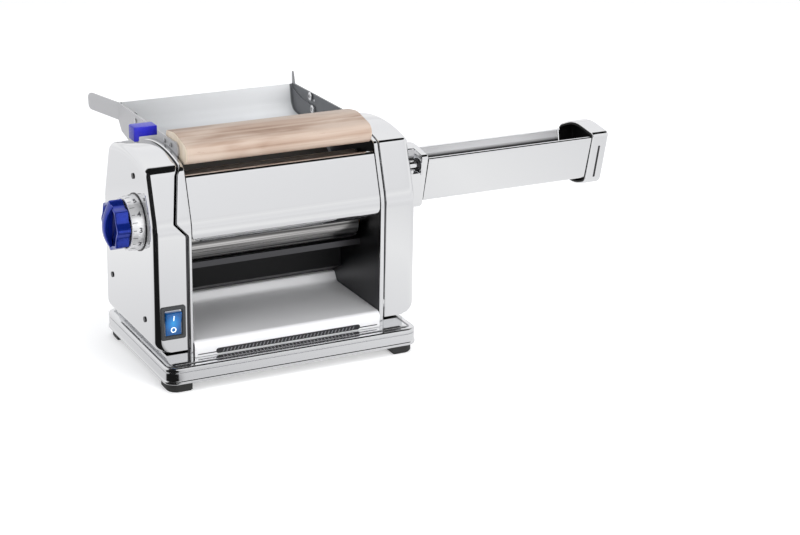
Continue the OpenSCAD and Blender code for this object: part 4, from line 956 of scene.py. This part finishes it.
def cutter_cover(name, finish, line, radii, node):
    """A folded (y, z) line carried across X between the caps."""
    profile = filled_in(rounded(line, radii, 14), 4.0)
    run = np.linspace(COVER_X0 + 1.2, COVER_X1 - 1.2, 24)[None, :, None] * (1, 0, 0)
    sheet = surface_mesh(name, run + np.c_[np.zeros(len(profile)), profile][:, None, :], finish,
                         inside=(286, -23, 172))
    thicken(sheet, 1.5)
    stands_for(sheet, "cutter", "polished_steel", node)


cutter_cover("cutter_front_panel", mirror_steel,
             [(-55.2, 200.5), (-61.1, 203.4), (-47.1, 147.6), (-41.2, 147.6)],
             [2.6, 5.0], "cutter_front_cover")
cutter_cover("cutter_rear_panel", trough_satin, [(-1.2, 147.6), (4.7, 147.6), (14.7, 192.4), (8.8, 194.4)],
             [5.0, 2.3], "cutter_rear_cover")


def cut_away(piece, *tools):
    """Cuts tools, each a box (x0, y0, z0, x1, y1, z1) or a rod (x0, x1, y, z, r), out of a
    piece and keeps the result as its mesh."""
    blanks = []
    for tool in tools:
        if len(tool) == 6:
            x0, y0, z0, x1, y1, z1 = tool
            ring = [(y0, z0), (y1, z0), (y1, z1), (y0, z1)]
        else:
            x0, x1, y, z, r = tool
            ring = disc(0, y, z, r)[:, 1:]
        ends = [np.c_[np.full(len(ring), x), ring] for x in (x0, x1)]
        blanks.append(closed_surface(piece.name + "_blank", ends, None))
        cut = piece.modifiers.new("cut", "BOOLEAN")
        cut.operation, cut.solver, cut.object = "DIFFERENCE", "EXACT", blanks[-1]
    settled(piece, 40)
    for blank in blanks:
        bpy.data.objects.remove(blank)


cap_line = rounded_loop([(-62.2, 205.5), (-48.2, 142.5), (-23.7, 133.5), (5.8, 140.5), (15.8, 197.5),
                         (-19.7, 212.5)], [5.0, 9.0, 50.0, 9.0, 12.0, 55.0], 12)
cap_line = filled_in(cap_line, 3.0)
CAP_RIM_R, CAP_END_R = 1.6, 3.4


def cap_shell(name, x_open, x_closed, finish, slot, skin, *replaced):
    """The cap's outline, skin further in, carried from its open end to its closed one, where
    it turns in along a quarter circle and closes in a flat face."""
    way = 1 if x_closed > x_open else -1
    rings = [(x_open + way * along, inset) for along, inset in quarter_round(CAP_RIM_R, 5)]
    rings += [(x, 0.0) for x in np.linspace(x_open + way * CAP_RIM_R, x_closed - way * CAP_END_R, 6)[1:]]
    rings += [(x_closed - way * along, inset) for along, inset in quarter_round(CAP_END_R, 8)[-2::-1]]
    loops = [np.c_[np.full(len(cap_line), x), drawn_in(cap_line, skin + inset, True)] for x, inset in rings]
    middle = loops[-1].mean(0)
    loops += [loops[-1] * (1 - k) + middle * k for k in (0.25, 0.5, 0.75, 0.97)]
    centre = ((x_open + x_closed) / 2, -23, 172)
    shell = surface_mesh(name, np.array(loops), finish, loop_v=True, inside=centre)
    thicken(shell, 1.3, sharp=40)
    stands_for(shell, "cutter", slot, *replaced)
    return shell


# The outer cap's black lining is painted shade for its dark inside
cap_black = Finish("cap_black", (0.006, 0.006, 0.006), rough=0.6, Specular_IOR_Level=0.2)
cap_black.set(Roughness=cap_black.noise(cap_black.where(), 300.0) * 0.2 + 0.5)
outer_cap = cap_shell("outer_cap_casting", COVER_X1, CUTTER_X1, mirror_steel, "polished_steel", 0.0,
                      "cutter_outer_cap")
cap_shell("outer_cap_lining", COVER_X1 - 1.0, CUTTER_X1 - 2.4, cap_black, "black_paint", 2.2)

# The slot in the outer cap, with a black liner that leans as the cap's front does: painted shade for the
# slot's dark inside
SLOT_X, SLOT_Z = (403.6, 406.3), (149.0, 189.0)
cut_away(outer_cap, (SLOT_X[0], -66.0, SLOT_Z[0], SLOT_X[1], -46.0, SLOT_Z[1]))
shade_liner_rings = []
for z in (SLOT_Z[0] - 1, SLOT_Z[1] + 1):
    y = -60.9 + (205.5 - z) * 14 / 63
    shade_liner_rings.append([(SLOT_X[0] - 1, y, z), (SLOT_X[1] + 1, y, z), (SLOT_X[1] + 1, y + 1.5, z),
                        (SLOT_X[0] - 1, y + 1.5, z)])
stands_for(closed_surface("slot_liner", shade_liner_rings, black_plastic), "cutter", "black_plastic")

# The inner cap and its open corner: an upright wall and a floor, the polished locating pin with its black
# washer, which is painted shade round the pin, and the drive spigot, each a round or rounded bar along X
inner_cap = cap_shell("inner_cap_casting", COVER_X0, CUTTER_X0, mirror_steel, "polished_steel", 0.0,
                      "cutter_inner_cap")
cut_away(inner_cap, (156.0, -66.2, 184.5, 171.0, -40.2, 224.5))
wall_line = rounded_loop([(-58.6, 182.0), (-40.5, 182.0), (-40.5, 203.5), (-58.6, 199.5)],
                         [1.0, 1.0, 2.0, 2.0], 6)
floor_line = rounded_loop([(-57.0, 181.6), (-40.4, 181.6), (-40.4, 184.2), (-57.6, 184.2)], [0.6] * 4, 4)
PIN_Y, PIN_Z, SPIGOT_Y, SPIGOT_Z = -49.2, 192.5, -14.0, 171.5
for name, line, x0, x1, edge, finish in (
        ("corner_wall", wall_line, 171.0, 173.4, 0.6, mirror_steel),
        ("locating_pin", disc(0, PIN_Y, PIN_Z, 5.0)[:, 1:], 150.2, 172.0, 1.0, mirror_steel),
        ("pin_washer", disc(0, PIN_Y, PIN_Z, 7.4)[:, 1:], 169.4, 171.2, 0.4, black_plastic),
        ("corner_floor", floor_line, 157.4, 172.0, 0.6, mirror_steel),
        ("drive_spigot", disc(0, SPIGOT_Y, SPIGOT_Z, 14.0)[:, 1:], 150.4, 158.4, 0.8, mirror_steel)):
    stands_for(bar_along_x(name, line, x0, x1, edge, finish), "cutter", "polished_steel")
cut_away(bpy.data.objects["drive_spigot"], (149.0, 158.0, SPIGOT_Y, SPIGOT_Z, 10.5))
cut_away(right_shell, (150.0, 160.0, SPIGOT_Y, SPIGOT_Z, 14.3), (150.0, 160.0, PIN_Y, PIN_Z, 5.3))
dress(gear_steel, "cutter_combs", "cutter_tie_rods")
dress(ground_steel, "cutter_front_roller", "cutter_rear_roller")
